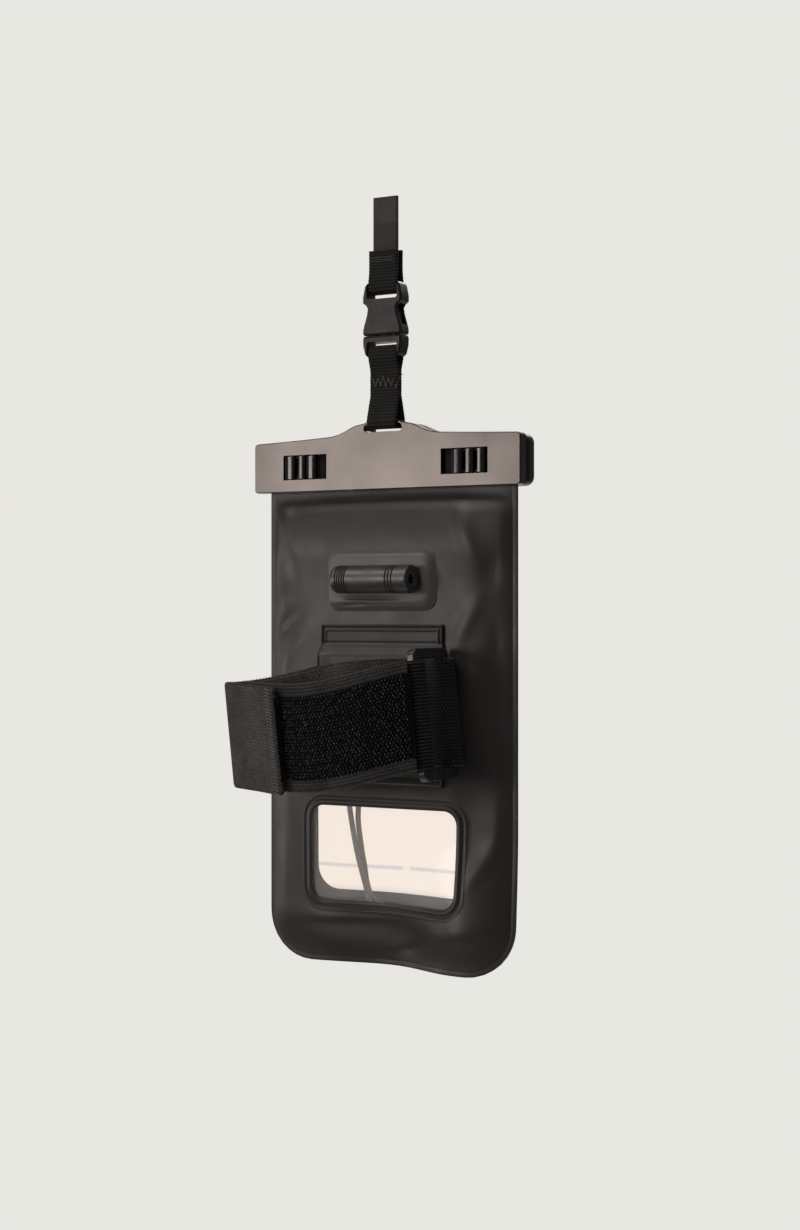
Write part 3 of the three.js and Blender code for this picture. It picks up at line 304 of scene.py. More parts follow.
def slab(name, box, skin, under, finish, node, rows, columns=60, turn_steps=9):
    """A closed plate over a round-cornered rectangle: rows of points as wide as the outline there.

    One side follows the skin and the other what lies under it.
    """
    x0, x1, z0, z1, r = box
    angle = np.linspace(0, math.pi / 2, turn_steps)
    top = z1 - r * (1 - np.cos(angle))
    foot = (z0 + r * (1 - np.cos(angle)))[::-1]
    zs = np.concatenate([top, np.linspace(z1 - r, z0 + r, rows)[1:-1], foot])
    drop = np.maximum(np.maximum(zs - (z1 - r), z0 + r - zs), 0)
    half = (x1 - x0) / 2 - r + np.sqrt(np.maximum(r * r - drop * drop, 0))
    s = np.sin(np.linspace(-1, 1, columns) * math.pi / 2) * 0.35 + np.linspace(-1, 1, columns) * 0.65
    x = (x0 + x1) / 2 + half[:, None] * s[None]
    z = zs[:, None] + 0 * x
    near, far = (np.stack([x, side(x, z), z], -1) for side in (skin, under))
    loop = np.concatenate([near, far[:, ::-1]], 1)
    piece(name, loop, capped(*loop.shape[:2])[0], finish, node)


def smooth_route(points, closed=False, fine=40):
    """Centripetal spline through the points: a cubic between each two, fitted to their neighbours."""
    p = np.asarray(points, float)
    if closed:
        p = np.concatenate([p[-1:], p, p[:2]])
    else:
        p = np.concatenate([2 * p[:1] - p[1:2], p, 2 * p[-1:] - p[-2:-1]])
    p0, p1, p2, p3 = p[:-3], p[1:-2], p[2:-1], p[3:]
    d0, d1, d2 = (np.sqrt(np.linalg.norm(b - a, axis=1))[:, None] for a, b in ((p0, p1), (p1, p2), (p2, p3)))
    t1 = ((p1 - p0) / d0 - (p2 - p0) / (d0 + d1) + (p2 - p1) / d1) * d1
    t2 = ((p2 - p1) / d1 - (p3 - p1) / (d1 + d2) + (p3 - p2) / d2) * d1
    t = np.linspace(0, 1, fine, endpoint=False)[None, :, None]
    a, b, c, d = (q[:, None] for q in (p1, p2, t1, t2))
    curve = a + c * t + (3 * (b - a) - 2 * c - d) * t**2 + (2 * (a - b) + c + d) * t**3
    curve = curve.reshape(-1, p.shape[1])
    return curve if closed else np.concatenate([curve, p[-2:-1]])


def evenly(curve, count, start=0.0, end=1.0):
    """Points at equal distances along a curve, with unit tangents and the distance run."""
    step = np.linalg.norm(np.diff(curve, axis=0), axis=1)
    run = np.concatenate([[0], np.cumsum(step)])
    want = np.linspace(start, end, count) * run[-1]
    at, ahead, behind = (
        np.stack([np.interp(want + shift, run, line) for line in curve.T], 1) for shift in (0.0, 0.05, -0.05)
    )
    tangent = ahead - behind
    return at, tangent / np.linalg.norm(tangent, axis=1)[:, None], want


def strap_section(width, thickness, across, rounds=5):
    """Loop round a flat strap: offsets through and across it, and which side it faces."""
    r = thickness / 2
    flat = np.linspace(-(width / 2 - r), width / 2 - r, across)
    turn = np.linspace(0, math.pi, rounds + 2)[1:-1]
    rim = width / 2 - r + r * np.sin(turn)
    through = np.concatenate([np.full(across, r), r * np.cos(turn), np.full(across, -r), -r * np.cos(turn)])
    upward = np.concatenate([flat, rim, flat[::-1], -rim])
    facing = np.concatenate([np.ones(across), np.cos(turn), -np.ones(across), -np.cos(turn)])
    return through, upward, facing


def band_point(x, y, z):
    """The armband's lie: a sag, a half wave along it that grows with depth, then a turn about the ring."""
    along = np.clip((RING_X - x) / BAND_REACH, 0, 1)
    sag = BAND_SAG * np.sin(math.pi * along) * (y + 22.0) / 15.0
    dx, dz = x - RING_X, z + sag
    c, s = math.cos(BAND_TILT), math.sin(BAND_TILT)
    return np.stack([RING_X + dx * c - dz * s, y + 0 * dx, RING_Z + dx * s + dz * c], -1)


def lanyard_point(y, z, x):
    """The lanyard's lie: its width runs along X."""
    return np.stack([x, y, z], -1)


def strap(name, plan, section, lie, finish, node, count, body=CASE, closed=False, stretch=(0.0, 1.0),
          offset=0.0, relief=None):
    """A strap on edge along a plan route: its section swept along it, with relief, then laid in its place."""
    curve = smooth_route(plan, closed)
    if closed:
        curve = np.concatenate([curve, curve[:1]])
    at, tangent, run = evenly(curve, count, *stretch)
    if closed:
        at, run = at[:-1], run[:-1]
        around = np.concatenate([at[-1:], at, at[:1]])
        tangent = around[2:] - around[:-2]
        tangent /= np.linalg.norm(tangent, axis=1)[:, None]
    side = np.stack([-tangent[:, 1], tangent[:, 0]], 1)
    through, upward, facing = strap_section(*section)
    lift = 0 if relief is None else relief(run[:, None], upward[None], facing[None])
    t = through[None] + offset + np.sign(through)[None] * lift
    first, second = (at[:, k, None] + side[:, k, None] * t for k in (0, 1))
    grid = lie(first, second, np.repeat(upward[None], len(at), 0))
    if closed:
        faces, ci, cj = grid_faces(*grid.shape[:2], wrap_rows=True, wrap_columns=True)
        run = np.append(run, run[-1] + run[1])
    else:
        faces, ci, cj = capped(*grid.shape[:2])
    uv = np.stack([run[ci], upward[cj % len(upward)]], -1)
    piece(name, grid, faces, finish, node, body, uv, np.repeat(facing[None], len(at), 0))


def thread_bits(name, a, b, normal, radius, rise, finish, body=CASE):
    """Short stitches: tubes from a to b that rise in a half wave along their normal and thin at the ends."""
    rings = sides = 5
    normal = np.broadcast_to(np.asarray(normal, float), a.shape)
    t = np.linspace(0, 1, rings)[None, :, None]
    line = a[:, None] * (1 - t) + b[:, None] * t + normal[:, None] * rise * np.sin(math.pi * t)
    along = b - a
    along /= np.linalg.norm(along, axis=1)[:, None]
    cross = np.cross(along, normal)
    angle = np.linspace(0, 2 * math.pi, sides, endpoint=False)[None, None, :, None]
    thin = radius * np.sqrt(np.maximum(0.12, np.sin(math.pi * (0.08 + 0.84 * t))))[..., None]
    ring = cross[:, None, None] * np.cos(angle) + normal[:, None, None] * np.sin(angle)
    points = (line[:, :, None] + ring * thin).reshape(-1, 3)
    first = np.arange(len(a))[:, None] * rings * sides
    tubes = (first[..., None] + grid_faces(rings, sides, wrap_columns=True)[0][None]).reshape(-1, 4)
    lids = (first + np.arange(sides)[::-1], first + (rings - 1) * sides + np.arange(sides))
    show(name, points, tubes.tolist() + lids[0].tolist() + lids[1].tolist(), finish, body)


# Finishes

class Nodes:
    """Short calls for the nodes of one tree."""

    def __init__(self, tree):
        self.tree = tree

    def feed(self, socket, value):
        """Links a socket, or sets a constant, in which a colour of three numbers gets its alpha."""
        if isinstance(value, bpy.types.NodeSocket):
            self.tree.links.new(value, socket)
        elif socket.type == "RGBA":
            socket.default_value = (*value, 1)
        else:
            socket.default_value = value

    def put(self, kind, inputs=(), out=0, **settings):
        """Adds a node and gives one of its outputs."""
        node = self.tree.nodes.new(kind)
        for key, value in settings.items():
            setattr(node, key, value)
        for key, value in dict(inputs).items():
            self.feed(node.inputs[key], value)
        return node.outputs[out]

    def sum(self, operation, a, b=0.0, c=0.0):
        return self.put("ShaderNodeMath", {0: a, 1: b, 2: c}, operation=operation)

    def times(self, a, b):
        return self.sum("MULTIPLY", a, b)

    def scaled(self, value, by, plus):
        return self.sum("MULTIPLY_ADD", value, by, plus)

    def vector(self, operation, a, b=(0.0, 0.0, 0.0), out="Vector"):
        return self.put("ShaderNodeVectorMath", {0: a, 1: b}, out, operation=operation)

    def between(self, value, low, high, out_low, out_high, **settings):
        """A value's run from low to high mapped to another run, and held at its ends."""
        ends = {"Value": value, "From Min": low, "From Max": high, "To Min": out_low, "To Max": out_high}
        return self.put("ShaderNodeMapRange", ends, **settings)


class Finish(Nodes):
    """One material, with the pattern calls that its look is made of."""

    def __init__(self, name, colour, roughness, **fixed):
        self.made = bpy.data.materials.new(name)
        self.made.use_nodes = True
        super().__init__(self.made.node_tree)
        self.shader = self.tree.nodes["Principled BSDF"]
        self.set(Base_Color=colour, Roughness=roughness, **fixed)
        self.height = None

    def set(self, **sockets):
        """Sets or links the shader's sockets, whose names are written with underscores."""
        for key, value in sockets.items():
            self.feed(self.shader.inputs[key.replace("_", " ")], value)

    def place(self):
        """Object coordinates."""
        return self.put("ShaderNodeTexCoord", out="Object")

    def axis(self, which):
        """One object coordinate, by its number."""
        return self.put("ShaderNodeSeparateXYZ", {0: self.place()}, which)

    def lay(self):
        """The run along the piece and across it, in millimetres."""
        uv = self.put("ShaderNodeUVMap", uv_map="lay")
        return (self.times(self.put("ShaderNodeSeparateXYZ", {0: uv}, k), 1000.0) for k in (0, 1))

    def wave(self, value, pitch):
        """A sine of the run over the pitch, brought to between 0 and 1."""
        turns = self.times(value, 2 * math.pi / pitch)
        return self.scaled(self.sum("SINE", turns), 0.5, 0.5)

    def row(self, value, pitch):
        """Which rib of that pitch a run is on."""
        return self.sum("FLOOR", self.sum("DIVIDE", value, pitch))

    def noise(self, scale, detail=3.0, roughness=0.55):
        """Cloudy noise in object coordinates, with its mean at a half."""
        settings = {"Vector": self.place(), "Scale": scale, "Detail": detail, "Roughness": roughness}
        return self.put("ShaderNodeTexNoise", settings, "Fac")

    def tint(self, share, first, second):
        """A colour between two, by a share."""
        ends = {"Factor": share, "A": first, "B": second}
        return self.put("ShaderNodeMix", ends, "Result", data_type="RGBA")

    def paint(self, share, first, second):
        """Colours the surface between two, by a share."""
        self.set(Base_Color=self.tint(share, first, second))

    def polish(self, scale, detail, low, high):
        """Clouds the roughness between two values."""
        self.set(Roughness=self.between(self.noise(scale, detail), 0.3, 0.7, low, high))

    def grain(self, scale, detail, depth_mm, roughness=0.55):
        """Raises noise to that depth."""
        self.raise_by(self.noise(scale, detail, roughness), depth_mm)

    def raise_by(self, value, depth_mm):
        """Adds relief of that depth to the normal."""
        inputs = {"Height": value, "Strength": 1.0, "Distance": depth_mm * 0.001}
        if self.height is not None:
            inputs["Normal"] = self.height
        self.height = self.put("ShaderNodeBump", inputs)
        self.set(Normal=self.height)


def cloudy(name, colour, roughness, tone=(), polish=(), grains=(), **fixed):
    """A surface whose tone, polish and fine relief each follow noise of their own scale and detail."""
    f = Finish(name, colour, roughness, **fixed)
    if tone:
        scale, detail, low, high = tone
        f.paint(f.noise(scale, detail), low, high)
    if polish:
        f.polish(*polish)
    for grain in grains:
        f.grain(*grain)
    return f.made


def soft_vinyl(name, low, high, rough):
    """Soft black vinyl: satin, very fine grain, slow changes of tone."""
    return cloudy(name, low, 0.46, (26.0, 3.0, low, high), (70.0, 4.0, *rough),
                  ((60.0, 2.0, 0.12, 0.4), (2600.0, 3.0, 0.006)), Specular_IOR_Level=0.5)


def film(name, clear=1.0):
    """Clear soft film that lets most of the light straight through, with a faint haze and gloss."""
    f = Finish(name, FILM_TINT, 0.02, Transmission_Weight=clear, IOR=1.12, Specular_IOR_Level=0.5)
    f.set(Roughness=f.between(f.noise(45.0, 3.0), 0.35, 0.75, 0.02, 0.07))
    f.grain(40.0, 2.0, 0.02)
    return f


def screen_film():
    """The front film: a pale crease across it at one height, and a whitish band of painted reflection above
    its lower weld.
    """
    f = film("screen_clear_film")
    x, z = f.axis(0), f.axis(2)
    bow = f.scaled(f.sum("SINE", f.times(x, 61.0)), 0.00022, -0.1584)
    off = f.sum("ABSOLUTE", f.sum("SUBTRACT", z, bow))
    crease = f.between(off, 0.0003, 0.0010, 0.9, 0.0)
    broken = f.between(f.sum("ABSOLUTE", f.sum("SUBTRACT", x, 0.0045)), 0.0008, 0.0022, 0.15, 1.0)
    # painted reflection: a whitish band above the lower weld stands for light the film reflects there
    reflection_band = f.between(z, -0.1677, -0.1652, 0.55, 0.0)
    share = f.sum("MAXIMUM", f.times(crease, broken), reflection_band)
    f.paint(share, FILM_TINT, (0.70, 0.72, 0.79))
    return f.made


def window_film():
    """The back window's film, with a few small raised blisters near its lower right corner."""
    f = film("window_clear_film", 0.90)
    for *centre, radius in ((0.0165, -0.0040, -0.1692, 0.0010), (0.0196, -0.0040, -0.1703, 0.0008),
                            (0.0292, -0.0045, -0.1652, 0.0008)):
        away = f.vector("DISTANCE", f.place(), centre, "Value")
        f.raise_by(f.between(away, 0.0, radius, 1.0, 0.0), 0.5)
    return f.made


def satin_plastic(name, roughness, high, shine=0.55):
    """Satin black moulding with fine spark texture."""
    return cloudy(name, (0.014, 0.013, 0.013), roughness, (180.0, 3.0, (0.011, 0.0105, 0.0105), high),
                  (240.0, 3.0, roughness - 0.06, roughness + 0.08),
                  ((2200.0, 2.0, 0.006), (120.0, 2.0, 0.04)), Specular_IOR_Level=shine)


def woven(name, low, high, rib, pick, depth, lengthwise=False, darker_below=None):
    """Webbing: ribs one way crossed by finer picks the other, alternating like a basket.

    Below a given height in metres the tone is darker.
    """
    f = Finish(name, low, 0.82, Sheen_Weight=0.08, Sheen_Roughness=0.4, Sheen_Tint=(0.5, 0.48, 0.46),
               Specular_IOR_Level=0.16)
    u, v = f.lay()
    along, over = (v, u) if lengthwise else (u, v)
    ribs = f.wave(along, rib)
    half_turn = f.times(f.row(along, rib), math.pi)
    turns = f.sum("ADD", f.times(over, 2 * math.pi / pick), half_turn)
    picks = f.scaled(f.sum("SINE", turns), 0.5, 0.5)
    weave = f.scaled(ribs, 0.62, f.times(f.times(picks, ribs), 0.38))
    fuzz = f.noise(3200.0, 3.0)
    lit = f.times(weave, f.between(fuzz, 0.25, 0.75, 0.55, 1.15))
    lit = f.times(lit, f.between(f.noise(160.0, 3.0), 0.35, 0.7, 0.7, 1.2))
    if darker_below is not None:
        blur = 0.0002
        lit = f.times(lit, f.between(f.axis(2), darker_below - blur, darker_below + blur, 0.62, 1.0))
    f.paint(lit, low, high)
    f.raise_by(weave, depth)
    f.raise_by(fuzz, 0.05)
    return f.made


def armband_fabric():
    """Black ground under the pile, painted darker than its yarn as the shade between the loops, inside two
    ribbed selvages, and beaded lengthwise ribs on the other side.

    The plain side is greyer where the strap's end lies open, and painted shade makes it darker by the ring.
    """
    f = Finish("armband_pile_and_rib", (0.006, 0.006, 0.0062), 0.9, Sheen_Weight=0.10, Sheen_Roughness=0.35,
               Sheen_Tint=(0.42, 0.41, 0.40), Specular_IOR_Level=0.12)
    u, v = f.lay()
    outer = f.between(f.put("ShaderNodeAttribute", out="Fac", attribute_name="facing"), -0.1, 0.1, 0.0, 1.0)
    half = STRAP_WIDTH / 2
    pile = f.times(outer, f.between(f.sum("ABSOLUTE", v), half - SELVAGE - 0.3, half - SELVAGE, 1.0, 0.0))
    ribs = f.wave(v, RIB_PITCH)
    bead_pitch = 0.92
    half_bead = f.times(f.row(v, RIB_PITCH), bead_pitch / 2)
    beads = f.wave(f.sum("ADD", u, half_bead), bead_pitch)
    fuzz = f.noise(3600.0, 2.0)
    plain = f.times(f.scaled(ribs, 0.6, 0.4), f.scaled(beads, 0.8, 0.2))
    worn = f.between(f.noise(120.0, 3.0), 0.35, 0.7, 0.75, 1.2)
    thread_tone = f.times(f.times(plain, f.between(fuzz, 0.3, 0.7, 0.5, 1.2)), worn)
    # painted shade: the selvage darkens on the strap's inner run, close to the pouch
    inner_run_shade = f.between(f.axis(1), -0.030, -0.016, 1.0, 0.45)
    selvage = f.tint(f.times(thread_tone, inner_run_shade), (0.003, 0.003, 0.003), (0.105, 0.100, 0.096))
    rubbed = f.between(f.noise(1500.0, 3.0, 0.7), 0.35, 0.65, 0.05, 0.60)
    open_tone = f.times(f.scaled(thread_tone, 0.45, rubbed), worn)
    # painted shade: the plain side's darker tone, used towards the ring
    shaded_by_ring = f.tint(thread_tone, (0.002, 0.002, 0.002), (0.046, 0.043, 0.042))
    open_end = f.tint(open_tone, (0.018, 0.0165, 0.015), (0.115, 0.107, 0.100))
    # painted shade: the plain side darkens from the open end towards the ring
    grey_side = f.tint(f.between(f.axis(0), -0.02, 0.015, 1.0, 0.0), shaded_by_ring, open_end)
    # black fabric with painted shade: the ground between the pile loops is darker than their yarn
    shaded_ground = f.tint(fuzz, (0.0006, 0.0006, 0.0006), (0.003, 0.003, 0.003))
    f.paint(pile, f.tint(outer, grey_side, selvage), shaded_ground)
    f.raise_by(f.times(plain, f.sum("SUBTRACT", 1.0, pile)), 0.34)
    f.raise_by(fuzz, 0.05)
    return f.made


def pile_yarn():
    """Loops of the pile: black yarn whose tone changes from tuft to tuft, with a dry shine."""
    f = Finish("armband_pile_loops", (0.03, 0.029, 0.028), 0.6, Sheen_Weight=0.06, Specular_IOR_Level=0.22)
    tuft = f.between(f.noise(700.0, 2.0, 0.8), 0.42, 0.66, 0.0, 1.0)
    f.paint(tuft, (0.0015, 0.0015, 0.0015), (0.085, 0.081, 0.079))
    return f.made


def slider_plastic():
    """Glossy black locks whose ribs are crowned: the normal is turned a little towards +X before shading.

    Below the ribs' feet the surface is left rough from the mould, so the floor between them stays dark.
    """
    f = Finish("lock_black_gloss", (0.010, 0.009, 0.009), 0.22, Specular_IOR_Level=0.5)
    leaned = f.vector("ADD", f.put("ShaderNodeNewGeometry", out="Normal"), (0.32, 0.0, 0.0))
    f.set(Normal=f.vector("NORMALIZE", leaned))
    polish = f.between(f.noise(300.0), 0.3, 0.7, 0.14, 0.22)
    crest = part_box("lock_slider_left")[0][1]
    floor = f.between(f.axis(1), crest + 0.00075, crest + 0.00095, 0.0, 0.95)
    f.set(Roughness=f.sum("MAXIMUM", polish, floor))
    return f.made


def thread(name, low, high):
    """Polyester thread with a slight shine."""
    return cloudy(name, low, 0.55, (900.0, 2.0, low, high), (), ((5200.0, 2.0, 0.03),),
                  Sheen_Weight=0.2, Specular_IOR_Level=0.4)


CLAMP = cloudy("clamp_black_polish", (0.020, 0.017, 0.0155), 0.2,
               (55.0, 2.0, (0.017, 0.0145, 0.013), (0.026, 0.022, 0.020)), (38.0, 4.0, 0.16, 0.24),
               ((55.0, 2.0, 0.05), (1900.0, 2.0, 0.003)),
               Specular_IOR_Level=0.6, Specular_Tint=(1.0, 0.92, 0.87))
VINYL = soft_vinyl("pouch_soft_vinyl", (0.020, 0.0185, 0.018), (0.031, 0.028, 0.0265), (0.38, 0.47))
PATCH_VINYL = soft_vinyl("patch_smooth_vinyl", (0.018, 0.0165, 0.016), (0.026, 0.024, 0.023), (0.44, 0.52))
PAD_VINYL = soft_vinyl("pad_soft_moulding", (0.100, 0.093, 0.086), (0.125, 0.116, 0.107), (0.42, 0.50))
WINDOW_FILM = window_film()
SCREEN_FILM = screen_film()
BUCKLE = satin_plastic("buckle_satin_moulding", 0.40, (0.017, 0.0155, 0.0155), 0.40)
RING = satin_plastic("ring_satin_moulding", 0.30, (0.034, 0.032, 0.032))
BARREL = satin_plastic("socket_housing_satin", 0.42, (0.055, 0.051, 0.049), 1.0)
WEBBING = woven("lanyard_ribbed_webbing", (0.008, 0.0075, 0.007), (0.030, 0.028, 0.0265), 1.15, 1.3, 0.06)
NECK = woven("neck_strap_fine_weave", (0.030, 0.0285, 0.027), (0.115, 0.107, 0.102), 0.5, 0.62, 0.04,
             darker_below=0.0735)
ELASTIC = woven("elastic_lengthwise_ribs", (0.004, 0.004, 0.004), (0.036, 0.034, 0.033), RIB_PITCH, 1.5, 0.30,
                lengthwise=True)
HOOK = woven("hook_tape_bristle", (0.004, 0.004, 0.004), (0.020, 0.020, 0.020), 1.0, 1.0, 0.25)
ARMBAND = armband_fabric()
PILE = pile_yarn()
SLIDER = slider_plastic()
PALE_THREAD = thread("overlock_thread", (0.040, 0.038, 0.036), (0.140, 0.132, 0.124))
EDGE_THREAD = thread("selvage_edge_thread", (0.016, 0.015, 0.015), (0.100, 0.094, 0.090))
LANYARD_THREAD = thread("lanyard_stitching_thread", (0.030, 0.028, 0.028), (0.105, 0.098, 0.094))
RUBBER = cloudy("lead_matt_rubber", (0.085, 0.080, 0.076), 0.5,
                (300.0, 2.0, (0.070, 0.065, 0.062), (0.110, 0.103, 0.098)), (), ((3000.0, 2.0, 0.01),),
                Specular_IOR_Level=0.4)
METAL = cloudy("socket_plated_metal", (0.72, 0.71, 0.70), 0.22, (), (800.0, 3.0, 0.16, 0.32),
               ((2500.0, 2.0, 0.004),), Metallic=1.0)


# Clamp, ring and buckle keep their solids, with rounded edges

def soften(node, finish, width):
    """Merges a solid's triangles for display, rounds its edges by a width in mm and gives it its finish."""
    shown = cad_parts[node]
    shown.data.polygons.foreach_set("use_smooth", np.ones(len(shown.data.polygons), bool))
    modify(shown, "one_skin", "WELD", merge_threshold=2e-6)
    modify(shown, "whole_faces", "DECIMATE", decimate_type="DISSOLVE", angle_limit=math.radians(0.5))
    modify(shown, "round_edges", "BEVEL", width=width * 0.001, segments=2, limit_method="ANGLE",
           angle_limit=math.radians(32), harden_normals=True, use_clamp_overlap=True)
    modify(shown, "even_shading", "WEIGHTED_NORMAL", keep_sharp=False)
    if not shown.material_slots:
        shown.data.materials.append(finish)
    for place in shown.material_slots:
        place.material = finish


for solid in (
    ("rear_jaw", CLAMP, 0.25), ("front_jaw", CLAMP, 0.3), ("lock_slider_left", SLIDER, 0.12),
    ("lock_slider_right", SLIDER, 0.12), ("jaw_seal", RUBBER, 0.2), ("armband_ring", RING, 0.25),
    ("buckle_male", BUCKLE, 0.22), ("buckle_female", BUCKLE, 0.22), ("jack_sleeve", METAL, 0.08),
    ("audio_plug", RUBBER, 0.2),
):
    soften(*solid)


# Pouch

def below_clamp(z):
    """One below the clamp's lower edge, and eased to nothing at it."""
    return smooth((CLAMP_BOTTOM - 0.5 - z) / 2.0)


def rear_relief(x, z):
    """Dents, a shoulder where the sheet leaves the clamp, a low bead along the weld, a line inside it,
    and the window's groove and raised lip.
    """
    d = pouch_edge(x, z)
    w = box_distance(x, z, WINDOW)
    weld = -0.03 * bump(d, 0.7, 0.5) + 0.05 * bump(d, 1.8, 0.5)
    under_clamp = CLAMP_BOTTOM - z - 2.5 * (x / 50.0) ** 2
    shoulder = -1.15 * smooth(under_clamp / 8.5) * (1 - smooth((under_clamp - 8.5) / 26.0)) * smooth(d / 6.0)
    lip = -0.32 * bump(w, 1.15, 0.75) + 0.22 * bump(w, 2.7, 0.42) - 0.10 * bump(w, 3.6, 0.5)
    return dents(x, z) + shoulder + weld * below_clamp(z) + lip


def front_relief(x, z):
    """A low bead along the weld and a raised lip round the screen."""
    d = pouch_edge(x, z)
    w = box_distance(x, z, SCREEN)
    return (0.07 * bump(d, 0.7, 0.5) - 0.06 * bump(d, 1.8, 0.5) + 0.25 * bump(w, 1.2, 0.8)) * below_clamp(z)


def square_top(outline):
    """Draws the two top corners out square, as the sheet's mouth is cut straight."""
    x, z = outline.T
    dx = np.abs(x) - (POUCH_HALF - POUCH_CORNER)
    dz = z - (NECK_TOP - POUCH_CORNER)
    corner = (dx > 0) & (dz > 0)
    scale = np.where(corner, POUCH_CORNER / np.maximum(np.maximum(dx, dz), 1e-6), 1.0)
    x = np.where(corner, np.sign(x) * (POUCH_HALF - POUCH_CORNER + dx * scale), x)
    z = np.where(corner, NECK_TOP - POUCH_CORNER + dz * scale, z)
    return np.stack([x, z], 1)


def pouch_sheet(name, hole, skin, towards, relief, node, steps):
    """A pouch sheet: its outline drawn in to the opening's, eased, with both sides and rounded rims."""
    per_side = 96
    whole = (-POUCH_HALF, POUCH_HALF, POUCH_BOTTOM, NECK_TOP, POUCH_CORNER)
    a = square_top(rounded_outline(whole, per_side))
    b = rounded_outline(hole, per_side)
    t = np.linspace(0, 1, steps)
    share = t + 0.5 * (smooth(t) - t)
    plan = a[None] * (1 - share)[:, None, None] + b[None] * share[:, None, None]
    x, z = plan[..., 0], plan[..., 1]
    outside = np.stack([x, skin(x, z) + relief(x, z), z], -1)
    inside = np.stack([x, skin(x, z) + towards * SHEET, z], -1)
    inside = np.concatenate([inside[-1:], inside[-2:0:-4], inside[:1]])
    grid = np.concatenate([outside, inside])
    faces = grid_faces(*grid.shape[:2], wrap_rows=True, wrap_columns=True)[0]
    piece(name, grid, faces, VINYL, node)


pouch_sheet("pouch_back", WINDOW, rear_skin, 1.0, rear_relief, "pouch_rear_sheet", 150)
pouch_sheet("pouch_front_frame", SCREEN, front_skin, -1.0, front_relief, "pouch_front_sheet", 60)


def film_plate(name, hole, lap, skin, inward, finish, node, rows):
    """A clear film a clearance inside its sheet, which laps the opening's edge all round."""
    x0, x1, z0, z1, r = hole

    def outer(x, z):
        return skin(x, z) + inward * (SHEET + GAP)

    def inner(x, z):
        return outer(x, z) + inward * FILM

    box = (x0 - lap, x1 + lap, z0 - lap, z1 + lap, r + lap)
    slab(name, box, outer, inner, finish, node, rows)


film_plate("window_film", WINDOW, 1.6, rear_skin, 1.0, WINDOW_FILM, "rear_window_panel", 60)
film_plate("screen_film", SCREEN, 1.8, front_skin, -1.0, SCREEN_FILM, "front_screen_panel", 110)


# Earphone socket

def pad_crown(x, z):
    """Pad's outer side: a dome over a low step, by the ninth power of the run across and the fifth up."""
    u = 2 * (x - (PAD[0] + PAD[1]) / 2) / (PAD[1] - PAD[0])
    w = 2 * (z - (PAD[2] + PAD[3]) / 2) / (PAD[3] - PAD[2])
    rise = np.maximum(0, 1 - np.abs(u) ** 9) * np.maximum(0, 1 - np.abs(w) ** 5)
    return rear_skin(x, z) - GAP - PAD_THICK - PAD_DOME * rise


BARREL_SUNK = 1.6
BARREL_Y = float(pad_crown(np.array((PAD[0] + PAD[1]) / 2), np.array(BARREL_Z))) - BARREL_R + BARREL_SUNK


def pad_face(x, z):
    """The dome with its edge rolled down, a hollow that hugs the barrel and soft folds under it."""
    edge = -box_distance(x, z, PAD)
    roll = 1.55 * (1 - smooth(edge / 3.2)) ** 1.8 - 0.08 * bump(edge, 3.4, 1.5)
    round_barrel = BARREL_R + 0.45
    dz = np.abs(z - BARREL_Z)
    inside = np.sqrt(np.maximum(round_barrel**2 - dz**2, 0.0))
    over = smooth((x - BARREL_X + 1.2) / 1.6) * smooth((BARREL_X + BARREL_LONG + 1.6 - x) / 1.6)
    seat = BARREL_Y + inside
    face = pad_crown(x, z) + roll
    lowered = np.where((dz < round_barrel) & (over > 0), np.maximum(face, seat + 0 * x), face)
    face = face * (1 - over) + lowered * over
    fold = 1.15 * bump(z, -60.9 - 0.02 * (x + 5), 0.60) * bump(x, -4.0, 9.0)
    fold = fold + 1.05 * bump(z, -63.3 + 0.03 * (x + 11), 0.60) * bump(x, -11.5, 5.5)
    fold = fold - 0.45 * bump(z, -62.1, 0.8) * bump(x, -5.0, 11.0)
    return face + fold * smooth(edge / 2.0)


slab("jack_pad_moulding", PAD, pad_face, lambda x, z: rear_skin(x, z) - GAP * 0.4, PAD_VINYL,
     "jack_pad", rows=80, columns=150, turn_steps=60)


def barrel():
    """Socket housing: a domed end, five fine rings, a long smooth drum, three rings and an open bore.

    Its profile of radius and run is turned about a line along X.
    """
    wide, deep, long, r = 0.62, 0.52, BARREL_LONG, BARREL_R
    bore, bore_deep = 2.5, 15.0
    turn = np.linspace(0, math.pi / 2, 12)
    dome = np.stack([r - 3.0 + 3.0 * np.sin(turn), 2.6 * (1 - np.cos(turn))], 1)
    profile = [[[0.0, 0.0], [1.0, 0.0]], dome]
    for start in (3.1, 4.05, 5.0, 5.95, 6.9, long - 8.8, long - 7.55, long - 6.3):
        run = np.linspace(0, wide, 7)
        groove = np.stack([r - deep * np.sin(math.pi * run / wide) ** 1.4, start + run], 1)
        profile += [[[r, start - 0.05]], groove, [[r, start + wide + 0.05]]]
    profile.append([
        [r, long - 1.0], [r, long - 0.6], [r - 0.1, long - 0.25], [r - 0.35, long - 0.05], [r - 0.65, long],
        [bore + 0.5, long], [bore + 0.25, long - 0.02], [bore + 0.05, long - 0.2], [bore, long - 0.4],
        [bore, long - bore_deep], [0.0, long - bore_deep],
    ])
    radius, run = np.concatenate(profile).T[..., None]
    angle = np.linspace(0, 2 * math.pi, 96, endpoint=False)
    grid = np.stack([
        BARREL_X + run + 0 * angle, BARREL_Y + radius * np.cos(angle), BARREL_Z + radius * np.sin(angle),
    ], -1)
    faces = grid_faces(*grid.shape[:2], wrap_columns=True)[0]
    shown = piece("socket_barrel", grid, faces, BARREL, "jack_barrel")
    modify(shown, "closed_poles", "WELD", merge_threshold=1e-6)


barrel()


# Lead inside the pouch

